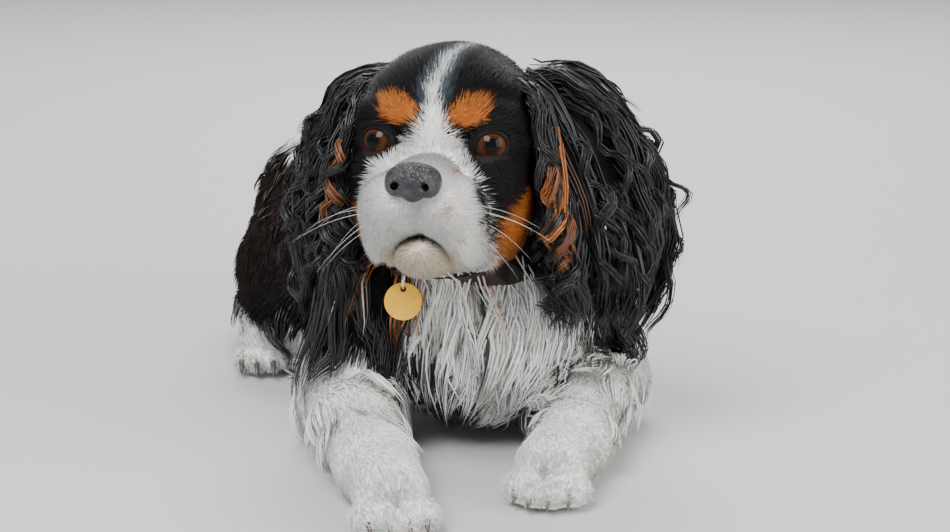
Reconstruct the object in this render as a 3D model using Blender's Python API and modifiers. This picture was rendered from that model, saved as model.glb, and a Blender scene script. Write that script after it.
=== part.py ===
"""A Cavalier King Charles spaniel lying on its chest, forelegs out and head turned to its right, at life size.

Frame: metres, +Z up, the dog faces -Y and its left side is +X. The origin is the middle of the flat
under the breastbone, where the model rests on the floor.

The body is modelled whole, as soft masses of bone, muscle and coat that run into one another, and is then
parted with thin cuts into the pieces that a person would name.
"""

import math

import bmesh
import bpy
import numpy as np
from mathutils import Matrix, Vector

# Driving sizes, in metres.
GAP = 0.0003
CUT_GAP = 0.0004
EYE_SPACING = 0.0570
EYE_RADIUS = 0.0102
EYE_MIDDLE = Vector((-0.0370, -0.1750, 0.1810))
HEAD_YAW = math.radians(-24)
HEAD_PITCH = math.radians(-6)
TAG_DIAMETER = 0.020
TAG_THICKNESS = 0.0016
COLLAR_WIDTH = 0.012
COLLAR_THICKNESS = 0.003
CM = 0.01
TINY = 1e-9

# The size of the grid that fuses each piece's masses, and the triangles that it keeps.
BODY_GRID, BODY_TRIANGLES = 0.0050, 3800
HEAD_GRID, HEAD_TRIANGLES = 0.0018, 3200
NOSE_GRID, NOSE_TRIANGLES = 0.0009, 400
SLEEVE_GRID, SLEEVE_TRIANGLES = 0.0060, 260
EYE_SEGMENTS, EYE_RINGS = 18, 10

HEAD_FRAME = (
    Matrix.Translation(EYE_MIDDLE)
    @ Matrix.Rotation(HEAD_YAW, 4, "Z")
    @ Matrix.Rotation(HEAD_PITCH, 4, "X")
)

# Masses of the head, in centimetres from the middle of the eyes: x to the dog's left, y back, z up.
# Each is centre, radii, blend. A pair is written for the left side and made on both.
HEAD_MASSES = (
    ((0, 4.1, 1.0), (4.9, 5.2, 4.3), 0.0),  # braincase
    ((0, 7.2, -0.6), (3.6, 3.0, 3.4), 1.6),  # back of the skull
    ((0, 1.55, 2.1), (3.7, 2.55, 2.7), 1.2),  # forehead
    ((0, -2.0, -1.75), (1.65, 2.9, 1.25), 1.1),  # bridge of the muzzle
    ((0, 2.0, -5.2), (2.7, 3.8, 1.9), 1.4),  # throat
)
HEAD_PAIRS = (
    ((2.35, -0.05, 1.55), (1.7, 1.05, 0.85), 0.7),  # brow
    ((3.6, 2.5, 0.6), (1.6, 2.8, 2.5), 1.2),  # temple
    ((3.0, 1.9, -2.5), (2.3, 3.4, 3.0), 1.3),  # cheek
    ((2.7, -0.1, -1.45), (1.55, 1.35, 1.1), 0.9),  # cheekbone under the eye
    ((2.75, 0.6, 0.05), (1.8, 1.25, 1.5), 0.5),  # orbit
    ((1.45, -2.95, -3.15), (1.85, 2.0, 1.75), 0.8),  # cushion of the upper lip
    ((2.15, -1.85, -4.55), (1.15, 2.05, 1.85), 0.9),  # hanging lip
    ((2.5, 1.5, -4.7), (1.8, 2.7, 1.8), 1.2),  # jowl
)
CHIN = ((0, -2.2, -5.75), (1.55, 1.75, 1.15), 0.25)
# The mouth runs from the middle of the upper lip, down round the chin and back to its corner.
MOUTH_LINE = ((0, -4.9, -4.35), (0.9, -4.5, -4.75), (1.65, -3.8, -5.6), (2.2, -2.4, -6.3), (2.75, -0.4, -5.9))
MOUTH_RADIUS, MOUTH_BLEND = 0.17, 0.25
LIP_GROOVE = ((0, -5.4, -2.9), (0, -5.05, -4.4))
LIP_GROOVE_RADIUS = 0.12
# Each eye: half its distance from the midline, how far out it looks, and its opening's half width and height.
EYE_OUTWARD = math.radians(20)
EYE_OPENING = (0.86, 0.70)
LID_RADIUS, LID_BLEND = 0.15, 0.22
LID_DEPTH = 0.50

# Masses of the trunk, in centimetres in the model's own frame.
TRUNK_MASSES = (
    ((0, -1.5, 7.2), (7.2, 12.0, 7.7), 0.0),  # rib cage
    ((0, -3.0, 11.6), (4.6, 8.5, 4.6), 2.0),  # withers
    ((0, -11.2, 7.6), (5.2, 4.6, 5.6), 2.2),  # forechest
    ((0, 6.5, 5.0), (6.4, 12.5, 5.4), 2.0),  # belly
    ((0, 10.5, 8.6), (5.8, 9.0, 5.9), 2.5),  # loin
    ((0, 17.8, 8.2), (6.4, 7.4, 6.4), 2.5),  # rump
)
SHOULDER = ((5.0, -6.5, 8.2), (3.0, 5.6, 5.6), 1.8)
NECK_PATH = ((0.3, -5.5, 12.3), (-0.7, -9.5, 14.6), (-1.6, -12.2, 16.6))
NECK_RADII = (5.6, 4.9, 4.4)

# Joints of the limbs, in centimetres, as (x away from the midline, y, z), with the radius there.
RIGHT_FORELEG = (
    ((6.0, -10.5, 8.8), 3.3),  # point of the shoulder
    ((7.6, -9.6, 2.6), 2.75),  # elbow
    ((7.9, -15.5, 2.3), 2.45),
    ((7.7, -21.6, 1.95), 2.05),  # wrist
    ((7.7, -26.4, 1.9), 2.05),  # knuckles
)
LEFT_FORELEG = (
    ((6.2, -8.4, 8.6), 3.3),
    ((7.7, -7.2, 2.6), 2.75),
    ((5.6, -13.2, 2.3), 2.45),
    ((3.4, -19.0, 1.95), 2.05),
    ((1.3, -23.3, 1.9), 2.05),
)
HIND_LEG = (
    ((5.0, 17.8, 8.4), 4.4),  # hip
    ((7.6, 11.0, 5.6), 3.9),  # thigh
    ((8.2, 7.0, 3.2), 3.3),  # knee
    ((8.6, 14.0, 2.6), 2.7),  # shank
    ((8.4, 18.8, 1.65), 1.75),  # hock
)
HIND_FOOT = (
    ((8.4, 18.8, 1.65), 1.75),
    ((9.5, 12.0, 1.5), 1.6),
    ((10.1, 7.2, 1.6), 1.75),  # knuckles
)
TOE_RADIUS = 1.0
TOE_SPREAD = (-1.45, -0.5, 0.5, 1.45)
TOE_REACH = (1.1, 1.75, 1.75, 1.1)
CLAW_RADIUS, CLAW_LENGTH = 0.16, 0.80
CLAW_DROP = math.radians(32)

TAIL_PATH = (
    (0.0, 22.5, 9.0),
    (0.6, 25.6, 6.4),
    (2.4, 28.2, 3.6),
    (5.6, 29.2, 1.95),
    (9.4, 27.8, 1.9),
    (12.2, 24.6, 1.75),
    (13.4, 20.4, 0.95),
)
TAIL_RADII = (2.3, 2.2, 2.1, 2.1, 2.1, 1.9, 1.1)

# The ears, in the head's frame: the middle of the flap from root to tip, with its half width and the half
# thickness of its leather. The flap bows outwards, and its front edge swings out by the turn.
RIGHT_EAR = (
    ((-3.7, 3.9, 3.0), 1.9, 0.9),
    ((-5.6, 4.0, 2.2), 2.5, 0.75),
    ((-7.2, 4.1, -0.4), 3.1, 0.75),
    ((-8.0, 4.2, -3.6), 3.5, 0.85),
    ((-7.9, 4.2, -6.6), 3.3, 0.95),
    ((-7.3, 3.9, -9.4), 2.2, 0.8),
)
LEFT_EAR = (
    ((3.7, 3.9, 3.0), 1.9, 0.9),
    ((5.7, 4.2, 2.3), 2.5, 0.75),
    ((7.5, 4.9, -0.3), 3.1, 0.75),
    ((8.7, 5.6, -3.8), 3.6, 0.85),
    ((8.8, 5.9, -7.2), 3.3, 0.95),
    ((8.3, 5.8, -10.2), 2.1, 0.8),
)
EAR_TURN = {"right": math.radians(-12), "left": math.radians(34)}
EAR_BOW = 0.26
EAR_SIDES, EAR_RINGS = 20, 14

# The nose, in the head's frame: leather over the tip of the muzzle, with its wings, column and nostrils.
NOSE_MASSES = (((0, -4.75, -1.7), (1.45, 1.05, 0.75), 0.0), ((0, -5.05, -2.45), (0.5, 0.65, 0.75), 0.35))
NOSE_PAIRS = (((0.85, -5.0, -2.05), (0.62, 0.8, 0.66), 0.3),)
NOSTRIL = (((0.62, -6.1, -2.1), (1.0, -5.1, -2.15)), 0.2, 0.15)

# The parting cuts of the head and neck: a point of the plane, and the way out of the body.
HEAD_CUT = ((0, 5.7, -3.0), (0, -0.75, 0.66))  # in the head's frame
NECK_CUT = ((0, -9.5, 13.0), (0, -0.5, 0.866))
COLLAR_UP = 0.004  # above the neck's cut
COLLAR_SIDES = 32
# The tag hangs at the throat, turned and leant back with the coat it lies on.
TAG_MIDDLE = Vector((-0.0554, -0.1750, 0.0965))
TAG_TURN, TAG_LEAN = math.radians(-14), math.radians(12)
TAG_HOLE, TAG_HOLE_UP = 0.0034, 0.0066
RING_RADIUS, RING_WIRE = 0.0048, 0.0006
LOOP_RADIUS, LOOP_WIRE = 0.0065, 0.0007

# How far each limb's and the tail's share of the body reaches past the limb's own surface.
LIMB_SLEEVE = {"fore": 0.006, "hind": 0.004}
TAIL_SLEEVE = 0.006
HEAD_BOUNDS = ((-0.13, -0.27, 0.08), (0.09, -0.03, 0.26))

LOOK_OF = {
    "nose": "nose_leather",
    "eye_left": "eye_gloss",
    "eye_right": "eye_gloss",
    "tag": "tag_metal",
    "tag_ring": "ring_steel",
    "collar": "collar_leather",
    "foreleg_left": "coat_white",
    "foreleg_right": "coat_white",
    "forepaw_left": "coat_white",
    "forepaw_right": "coat_white",
}

BLACK = (0.014, 0.012, 0.013, 1.0)
WHITE = (0.86, 0.83, 0.78, 1.0)
TAN = (0.42, 0.13, 0.03, 1.0)
NOSE_BLACK = (0.018, 0.017, 0.020, 1.0)
IRIS_BROWN = (0.09, 0.028, 0.010, 1.0)
TAG_YELLOW = (0.80, 0.52, 0.09, 1.0)
LEATHER = (0.05, 0.02, 0.01, 1.0)


def clear_scene():
    """Removes the objects and collections that the scene starts with."""
    for obj in list(bpy.data.objects):
        bpy.data.objects.remove(obj)
    for collection in list(bpy.data.collections):
        bpy.data.collections.remove(collection)


def new_collection(name):
    """A collection of that name under the scene's own."""
    collection = bpy.data.collections.new(name)
    bpy.context.scene.collection.children.link(collection)
    return collection


def material(name, colour, roughness, metallic=0.0):
    """A Principled material of one colour."""
    made = bpy.data.materials.new(name)
    made.use_nodes = True
    shader = made.node_tree.nodes["Principled BSDF"]
    shader.inputs["Base Color"].default_value = colour
    shader.inputs["Roughness"].default_value = roughness
    shader.inputs["Metallic"].default_value = metallic
    return made


# Soft masses, as distances


def union(one, other, blend):
    """The nearer of two distances, rounded where they are within blend of each other."""
    if blend <= 0:
        return np.minimum(one, other)
    share = np.clip(0.5 + 0.5 * (other - one) / blend, 0, 1)
    return other + (one - other) * share - blend * share * (1 - share)


class Flesh:
    """Masses that run into one another, as one distance that is negative inside them."""

    def __init__(self):
        """Starts with no mass."""
        self.masses = []
        self.ends = []

    def bounds(self, margin):
        """The lowest and highest corners of a box round all the masses."""
        return np.min([low for low, _ in self.ends], axis=0) - margin, np.max([high for _, high in self.ends], axis=0) + margin

    def blob(self, centre, radii, blend, frame=None, sign=1):
        """Adds an ellipsoid, or carves one where sign is -1. Sizes are in metres."""
        frame = frame or Matrix.Identity(4)
        inverse = np.array(frame.inverted())
        centre = np.array(centre, float)
        radii = np.array(radii, float)

        def distance(points):
            local = points @ inverse[:3, :3].T + inverse[:3, 3] - centre
            scaled = np.linalg.norm(local / radii, axis=1)
            slope = np.linalg.norm(local / radii**2, axis=1)
            return scaled * (scaled - 1) / np.maximum(slope, TINY)

        self.masses.append((distance, blend, sign))
        middle = np.array(frame @ Vector(centre))
        self.ends.append((middle - max(radii), middle + max(radii)))

    def bone(self, start, end, first, last, blend, sign=1):
        """Adds a rod from start to end whose radius runs from first to last, or carves one."""
        start, end = np.array(start, float), np.array(end, float)
        along = end - start

        def distance(points):
            share = np.clip((points - start) @ along / (along @ along), 0, 1)
            nearest = start + share[:, None] * along
            return np.linalg.norm(points - nearest, axis=1) - first - (last - first) * share

        self.masses.append((distance, blend, sign))
        self.ends.append((np.minimum(start, end) - max(first, last), np.maximum(start, end) + max(first, last)))

    def chain(self, points, radii, blend, frame=None, sign=1):
        """Adds a rod between each point and the next, or carves them. Sizes are in metres."""
        if frame is not None:
            points = [frame @ Vector(point) for point in points]
        joints = list(zip(points, radii))
        for (start, first), (end, last) in zip(joints, joints[1:]):
            self.bone(start, end, first, last, blend, sign)

    def near(self, low, high, margin=0.03):
        """The masses that reach into a box, as flesh of their own."""
        found = Flesh()
        for mass, ends in zip(self.masses, self.ends):
            if np.all(ends[0] < np.array(high) + margin) and np.all(ends[1] > np.array(low) - margin):
                found.masses.append(mass)
                found.ends.append(ends)
        return found

    def distance(self, points):
        """How far each point lies outside the fused masses."""
        found = None
        for distance, blend, sign in self.masses:
            one = distance(points)
            if found is None:
                found = one
            elif sign > 0:
                found = union(found, one, blend)
            else:
                found = -union(-found, one, blend)
        return found

    def slope(self, points, here=None, step=1e-4):
        """The way out at each point, of about unit length."""
        here = self.distance(points) if here is None else here
        return np.stack([self.distance(points + step * axis) - here for axis in np.eye(3)], axis=1) / step

    def settle(self, points, level=0.0, rounds=2):
        """Moves points along the way out until their distance is level."""
        for _ in range(rounds):
            here = self.distance(points)
            slope = self.slope(points, here)
            size = np.maximum((slope**2).sum(axis=1), 0.2)
            move = np.clip(here - level, -0.004, 0.004) / size
            points = points - move[:, None] * slope
        return points


def read_points(mesh):
    """The mesh's vertices as rows of x, y, z."""
    points = np.empty(len(mesh.vertices) * 3, np.float32)
    mesh.vertices.foreach_get("co", points)
    return points.reshape(-1, 3).astype(float)


def write_points(mesh, points):
    """Gives the mesh's vertices new places."""
    mesh.vertices.foreach_set("co", points.astype(np.float32).ravel())
    mesh.update()


def bake_modifiers(obj):
    """Replaces the object's mesh by what its modifiers make of it."""
    graph = bpy.context.evaluated_depsgraph_get()
    mesh = bpy.data.meshes.new_from_object(obj.evaluated_get(graph))
    obj.modifiers.clear()
    obj.data = mesh


def thin_out(obj, triangles):
    """Collapses the object's mesh to about that many triangles, least where it curves."""
    obj.data.calc_loop_triangles()
    thin = obj.modifiers.new("thin", "DECIMATE")
    thin.ratio = min(1.0, triangles / len(obj.data.loop_triangles))
    thin.use_collapse_triangulate = True
    bake_modifiers(obj)


def net(flesh, low, high, step):
    """Points and four-sided faces of the flesh's surface, one point for each cell of a grid that it crosses."""
    axes = [np.arange(start, end + step, step) for start, end in zip(low, high)]
    counts = [len(axis) for axis in axes]
    values = np.concatenate(
        [flesh.distance(np.stack(np.meshgrid([x], *axes[1:], indexing="ij"), axis=-1).reshape(-1, 3)) for x in axes[0]]
    ).reshape(counts)
    for rim in (np.s_[[0, -1]], np.s_[:, [0, -1]], np.s_[:, :, [0, -1]]):
        values[rim] = np.maximum(values[rim], step)
    cells = [count - 1 for count in counts]
    total, hits = np.zeros((*cells, 3)), np.zeros(cells)
    faces = []
    for axis in range(3):
        across = [other for other in range(3) if other != axis]
        ends = [np.take(values, range(start, counts[axis] - 1 + start), axis) for start in (0, 1)]
        crossed = (ends[0] < 0) != (ends[1] < 0)
        index = np.argwhere(crossed)
        points = np.stack([axes[other][index[:, other]] for other in range(3)], axis=1)
        points[:, axis] += step * ends[0][crossed] / (ends[0][crossed] - ends[1][crossed])
        corners = []
        for steps in ((0, 0), (-1, 0), (-1, -1), (0, -1)):
            cell = index.copy()
            cell[:, across] += steps
            np.add.at(total, tuple(cell.T), points)
            np.add.at(hits, tuple(cell.T), 1)
            corners.append(np.ravel_multi_index(tuple(cell.T), cells))
        face = np.stack(corners, axis=1)
        outwards = (ends[0][crossed] < 0) ^ (axis == 1)
        faces.append(np.where(outwards[:, None], face, face[:, ::-1]))
    used, faces_of = np.unique(np.concatenate(faces), return_inverse=True)
    return total.reshape(-1, 3)[used] / hits.reshape(-1)[used][:, None], faces_of.reshape(-1, 4)


def fused(name, flesh, grid, triangles, collection, bounds=None, block=None):
    """One closed mesh of the flesh, settled on its surface and thinned out. A block keeps its share alone."""
    low, high = bounds or flesh.bounds(3 * grid)
    flesh = flesh.near(low, high)
    points, faces = net(flesh, low, high, grid)
    mesh = bpy.data.meshes.new(name)
    mesh.from_pydata(points.tolist(), [], faces.tolist())
    obj = bpy.data.objects.new(name, mesh)
    collection.objects.link(obj)
    remesh = obj.modifiers.new("fuse", "REMESH")
    remesh.mode = "VOXEL"
    remesh.voxel_size = grid
    bake_modifiers(obj)
    write_points(obj.data, flesh.settle(read_points(obj.data)))
    if block:
        combine(obj, block, "INTERSECT")
        discard(block)
    thin_out(obj, triangles)
    return obj


def box(name, matrix, sides, collection):
    """A box of those full sides, centred and turned by the matrix."""
    shape = bmesh.new()
    bmesh.ops.create_cube(shape, size=1, matrix=matrix @ Matrix.Diagonal((*sides, 1)))
    mesh = bpy.data.meshes.new(name)
    shape.to_mesh(mesh)
    shape.free()
    obj = bpy.data.objects.new(name, mesh)
    collection.objects.link(obj)
    return obj


def duplicate(obj, name):
    """A copy of the object with a mesh of its own, in the same collection."""
    made = bpy.data.objects.new(name, obj.data.copy())
    obj.users_collection[0].objects.link(made)
    return made


def combine(obj, other, operation, solver="EXACT"):
    """Cuts or joins obj with other by a Boolean that is applied at once."""
    modifier = obj.modifiers.new(operation.lower(), "BOOLEAN")
    modifier.operation = operation
    modifier.solver = solver
    modifier.object = other
    bake_modifiers(obj)


def discard(*objects):
    """Removes helpers that have done their work."""
    for obj in objects:
        bpy.data.objects.remove(obj)


def keep_largest(obj):
    """Keeps only the object's largest closed surface."""
    shape = bmesh.new()
    shape.from_mesh(obj.data)
    unseen = set(shape.verts)
    shells = []
    while unseen:
        front = [unseen.pop()]
        shell = []
        while front:
            vertex = front.pop()
            shell.append(vertex)
            for edge in vertex.link_edges:
                other = edge.other_vert(vertex)
                if other in unseen:
                    unseen.remove(other)
                    front.append(other)
        shells.append(shell)
    shells.sort(key=len)
    for shell in shells[:-1]:
        bmesh.ops.delete(shape, geom=shell, context="VERTS")
    shape.to_mesh(obj.data)
    shape.free()


def grown(obj, name, by=CUT_GAP):
    """A copy of a smooth object, larger by that much all round."""
    made = duplicate(obj, name)
    swell = made.modifiers.new("grow", "DISPLACE")
    swell.mid_level = 0
    swell.strength = by
    bake_modifiers(made)
    return made


def finish(obj, name, look, parts):
    """Makes the object a named node of the model."""
    keep_largest(obj)
    obj.name = name
    obj.data.name = name
    obj.data.materials.clear()
    obj.data.materials.append(look)
    obj.data.shade_smooth()
    obj.data.set_sharp_from_angle(angle=math.radians(50))
    for collection in list(obj.users_collection):
        collection.objects.unlink(obj)
    parts.objects.link(obj)
    return obj


# The animal's own masses


def in_metres(values):
    """Centimetres as metres."""
    return tuple(CM * value for value in values)


def mirrored(point, side):
    """A point written for the left side, on the side given: 1 for left, -1 for right."""
    return (side * point[0], point[1], point[2])


def add_masses(flesh, masses, frame=None, sides=(1,)):
    """Adds ellipsoids given in centimetres, each on every side named."""
    for centre, radii, blend in masses:
        for side in sides:
            flesh.blob(in_metres(mirrored(centre, side)), in_metres(radii), CM * blend, frame)


def eye_frame(side):
    """Where an eye sits: its middle at the origin, looking along -Y."""
    place = Vector((side * EYE_SPACING / 2, 0, 0))
    return HEAD_FRAME @ Matrix.Translation(place) @ Matrix.Rotation(side * EYE_OUTWARD, 4, "Z")


def add_lids(flesh):
    """Adds a rim of lid round each eye: a ring of short rods on an ellipse before the eyeball's middle."""
    wide, high = in_metres(EYE_OPENING)
    turns = np.linspace(0, 2 * math.pi, 17)
    for side in (1, -1):
        ring = [
            (wide * math.cos(a), -CM * (LID_DEPTH + 0.12 * math.sin(a) ** 2), high * math.sin(a)) for a in turns
        ]
        radii = [CM * LID_RADIUS] * len(ring)
        flesh.chain(ring, radii, CM * LID_BLEND, eye_frame(side))


def add_head(flesh):
    """Adds the head's masses, with its lids, the line of the mouth and the groove of the upper lip."""
    add_masses(flesh, HEAD_MASSES, HEAD_FRAME)
    add_masses(flesh, HEAD_PAIRS, HEAD_FRAME, (1, -1))
    for side in (1, -1):
        line = [in_metres(mirrored(point, side)) for point in MOUTH_LINE]
        radii = [CM * MOUTH_RADIUS] * len(line)
        flesh.chain(line, radii, CM * MOUTH_BLEND, HEAD_FRAME, -1)
    add_masses(flesh, (CHIN,), HEAD_FRAME)
    groove = [in_metres(point) for point in LIP_GROOVE]
    flesh.chain(groove, [CM * LIP_GROOVE_RADIUS] * 2, CM * MOUTH_BLEND, HEAD_FRAME, -1)
    add_lids(flesh)


def add_neck(flesh):
    """Adds the neck, from between the shoulders to the back of the head."""
    flesh.chain([in_metres(point) for point in NECK_PATH], in_metres(NECK_RADII), CM * 2.0)


def add_trunk(flesh):
    """Adds the trunk's masses and both shoulders."""
    add_masses(flesh, TRUNK_MASSES)
    add_masses(flesh, (SHOULDER,), None, (1, -1))


def limb_joints(joints, side):
    """A limb's joints and radii in metres, on the side given."""
    points = [in_metres(mirrored(point, side)) for point, _ in joints]
    return points, [CM * radius for _, radius in joints]


def add_limb(flesh, joints, side, toed=True, extra=0.0):
    """Adds a limb along its joints, with four toes past the last of them. Extra makes it all thicker."""
    points, radii = limb_joints(joints, side)
    flesh.chain(points, [radius + extra for radius in radii], CM * 1.2)
    if not toed:
        return
    for centre, turn in toes(joints, side):
        radius = CM * TOE_RADIUS + extra
        flesh.blob((0, 0, 0), (radius, 1.35 * radius, radius), CM * 0.45, Matrix.Translation(centre) @ turn)


def toes(joints, side):
    """The middle of each toe of a limb and the turn of the foot, whose -Y runs towards the claws."""
    points, _ = limb_joints(joints, side)
    before, knuckle = Vector(points[-2]), Vector(points[-1])
    ahead = Vector((knuckle.x - before.x, knuckle.y - before.y, 0)).normalized()
    across = Vector((-ahead.y, ahead.x, 0))
    turn = Matrix((across, -ahead, (0, 0, 1))).transposed().to_4x4()
    found = []
    for spread, reach in zip(TOE_SPREAD, TOE_REACH):
        centre = knuckle + CM * (spread * across + reach * ahead)
        centre.z = CM * TOE_RADIUS * 0.9
        found.append((centre, turn))
    return found


def add_tail(flesh, extra=0.0):
    """Adds the tail, from the rump down to the floor and round to the left."""
    radii = [CM * radius + extra for radius in TAIL_RADII]
    flesh.chain([in_metres(point) for point in TAIL_PATH], radii, CM * 1.5)


LIMBS = {
    "foreleg_left": (LEFT_FORELEG, 1, True),
    "foreleg_right": (RIGHT_FORELEG, -1, True),
    "hindleg_left": (HIND_LEG, 1, False),
    "hindleg_right": (HIND_LEG, -1, False),
    "hindpaw_left": (HIND_FOOT, 1, True),
    "hindpaw_right": (HIND_FOOT, -1, True),
}


def whole_body():
    """The flesh of the whole animal, without its ears, eyes and nose."""
    flesh = Flesh()
    add_trunk(flesh)
    add_neck(flesh)
    for joints, side, toed in LIMBS.values():
        add_limb(flesh, joints, side, toed)
    add_tail(flesh)
    add_head(flesh)
    return flesh


# Parting the body into its pieces


def facing(point, normal):
    """A matrix at the point whose Z runs along the normal and whose X is level."""
    up = Vector(normal).normalized()
    across = Vector((0, 0, 1)).cross(up).normalized()
    turn = Matrix((across, up.cross(across), up)).transposed().to_4x4()
    return Matrix.Translation(Vector(point)) @ turn


def beyond(name, matrix, reach, depth, collection, shift=0.0):
    """A block that fills the far side of a plane: reach to each side and depth outwards."""
    place = matrix @ Matrix.Translation(Vector((0, 0, shift + depth / 2)))
    return box(name, place, (2 * reach, 2 * reach, depth), collection)


def head_plane():
    """The plane between head and neck."""
    point, normal = HEAD_CUT
    return facing(HEAD_FRAME @ Vector(in_metres(point)), HEAD_FRAME.to_3x3() @ Vector(normal))


def neck_plane():
    """The plane between neck and torso."""
    point, normal = NECK_CUT
    return facing(in_metres(point), normal)


def part_off(body, region, name):
    """Takes the region's share of the body as a piece of its own, and leaves a thin gap between them."""
    piece = duplicate(body, name)
    combine(piece, region, "INTERSECT")
    wider = grown(region, "wider")
    combine(body, wider, "DIFFERENCE")
    discard(wider)
    return piece


def sleeve(name, joints, side, extra, collection, toed=True):
    """A loose sleeve round a limb, which marks its share of the body."""
    flesh = Flesh()
    add_limb(flesh, joints, side, toed, extra)
    return fused(name, flesh, SLEEVE_GRID, SLEEVE_TRIANGLES, collection)


def wrist_block(joints, side, collection):
    """The space past a foreleg's wrist."""
    points, radii = limb_joints(joints, side)
    wrist, knuckle = Vector(points[-2]), Vector(points[-1])
    ahead = (knuckle - wrist).normalized()
    start = wrist - radii[-2] * 0.4 * ahead
    return beyond("wrist", facing(start, ahead), 0.05, 0.14, collection)


def part_body(body, cutters):
    """Parts the body below the neck and returns its pieces by name."""
    pieces = {}
    for name in ("hindpaw_left", "hindpaw_right", "hindleg_left", "hindleg_right", "foreleg_left", "foreleg_right"):
        joints, side, toed = LIMBS[name]
        if name.startswith("foreleg"):
            joints = joints[1:]
        region = sleeve("sleeve", joints, side, LIMB_SLEEVE[name[:4]], cutters, toed)
        pieces[name] = part_off(body, region, name)
        discard(region)
    for side_name in ("left", "right"):
        leg = pieces[f"foreleg_{side_name}"]
        joints, side, _ = LIMBS[f"foreleg_{side_name}"]
        region = wrist_block(joints, side, cutters)
        pieces[f"forepaw_{side_name}"] = part_off(leg, region, f"forepaw_{side_name}")
        discard(region)
    region = tail_region(cutters)
    pieces["tail"] = part_off(body, region, "tail")
    discard(region)
    pieces["torso"] = body
    return pieces


def tail_region(collection):
    """A loose sleeve round the tail past its root."""
    flesh = Flesh()
    points = [in_metres(point) for point in TAIL_PATH[1:]]
    radii = [CM * radius + TAIL_SLEEVE for radius in TAIL_RADII[1:]]
    flesh.chain(points, radii, CM)
    return fused("tail_region", flesh, SLEEVE_GRID, SLEEVE_TRIANGLES, collection)


# The head's own pieces


def loft(name, rings, collection):
    """A closed mesh over rings of points, with a fan at each end."""
    shape = bmesh.new()
    rows = [[shape.verts.new(point) for point in ring] for ring in rings]
    for low, high in zip(rows, rows[1:]):
        for index in range(len(low)):
            after = (index + 1) % len(low)
            shape.faces.new((low[index], low[after], high[after], high[index]))
    for row in (rows[0], rows[-1]):
        middle = shape.verts.new(sum((vertex.co for vertex in row), Vector()) / len(row))
        for index in range(len(row)):
            shape.faces.new((row[index], row[(index + 1) % len(row)], middle))
    bmesh.ops.triangulate(shape, faces=shape.faces)
    bmesh.ops.recalc_face_normals(shape, faces=shape.faces)
    mesh = bpy.data.meshes.new(name)
    shape.to_mesh(mesh)
    shape.free()
    obj = bpy.data.objects.new(name, mesh)
    collection.objects.link(obj)
    return obj


def spread(values, count):
    """Values read off a smooth curve through those given, at evenly spaced shares of its length."""
    values = np.array(values, float)
    last = len(values) - 1
    found = []
    for share in np.linspace(0, last, count):
        index = min(int(share), last - 1)
        t = share - index
        one, two = values[index], values[index + 1]
        before = values[index - 1] if index else 2 * one - two
        after = values[index + 2] if index + 2 <= last else 2 * two - one
        slope, end_slope = (two - before) / 2, (after - one) / 2
        found.append(
            (2 * t**3 - 3 * t**2 + 1) * one
            + (t**3 - 2 * t**2 + t) * slope
            + (3 * t**2 - 2 * t**3) * two
            + (t**3 - t**2) * end_slope
        )
    return np.array(found)


def ear_frames(side_name, count):
    """The flap's stations: its middle, its way down, its way forwards, its way out, half width and thickness."""
    stations = RIGHT_EAR if side_name == "right" else LEFT_EAR
    rows = spread([(*point, wide, thick) for point, wide, thick in stations], count)
    side = -1 if side_name == "right" else 1
    turn = Matrix.Rotation(EAR_TURN[side_name], 3, "Z")
    found = []
    for index, row in enumerate(rows):
        one, two = rows[max(index - 1, 0)][:3], rows[min(index + 1, count - 1)][:3]
        down = (HEAD_FRAME.to_3x3() @ Vector(two - one)).normalized()
        ahead = HEAD_FRAME.to_3x3() @ (turn @ Vector((0, -1, 0)))
        ahead = (ahead - down * ahead.dot(down)).normalized()
        out = side * down.cross(ahead)
        middle = HEAD_FRAME @ Vector(in_metres(row[:3]))
        found.append((middle, down, ahead, out, CM * float(row[3]), CM * float(row[4])))
    return found


def make_ear(side_name, collection):
    """An ear flap: a bowed leaf, hollow on its inner side, narrow at its root and rounded at its tip."""
    rings = []
    turns = [2 * math.pi * index / EAR_SIDES for index in range(EAR_SIDES)]
    for middle, _, ahead, out, wide, thick in ear_frames(side_name, EAR_RINGS):
        ring = []
        for angle in turns:
            across, through = math.cos(angle), math.sin(angle)
            bow = EAR_BOW * wide * (1 - across**2)
            edge = thick * (0.35 + 0.65 * (1 - across**2)) * through
            ring.append(middle + wide * across * ahead + (bow + edge) * out)
        rings.append(ring)
    return loft(f"ear_{side_name}", rings, collection)


def make_nose(collection):
    """The nose leather, with both nostrils and the groove between them."""
    flesh = Flesh()
    add_masses(flesh, NOSE_MASSES, HEAD_FRAME)
    add_masses(flesh, NOSE_PAIRS, HEAD_FRAME, (1, -1))
    ends, radius, blend = NOSTRIL
    for side in (1, -1):
        line = [in_metres(mirrored(point, side)) for point in ends]
        flesh.chain(line, [CM * radius] * 2, CM * blend, HEAD_FRAME, -1)
    return fused("nose", flesh, NOSE_GRID, NOSE_TRIANGLES, collection)


def ball(name, centre, radius, collection):
    """A sphere whose poles lie along the head's own way forwards."""
    shape = bmesh.new()
    matrix = Matrix.Translation(centre) @ HEAD_FRAME.to_3x3().to_4x4() @ Matrix.Rotation(math.pi / 2, 4, "X")
    bmesh.ops.create_uvsphere(
        shape, u_segments=EYE_SEGMENTS, v_segments=EYE_RINGS, radius=radius, matrix=matrix
    )
    mesh = bpy.data.meshes.new(name)
    shape.to_mesh(mesh)
    shape.free()
    obj = bpy.data.objects.new(name, mesh)
    collection.objects.link(obj)
    return obj


# Collar and tag


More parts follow.
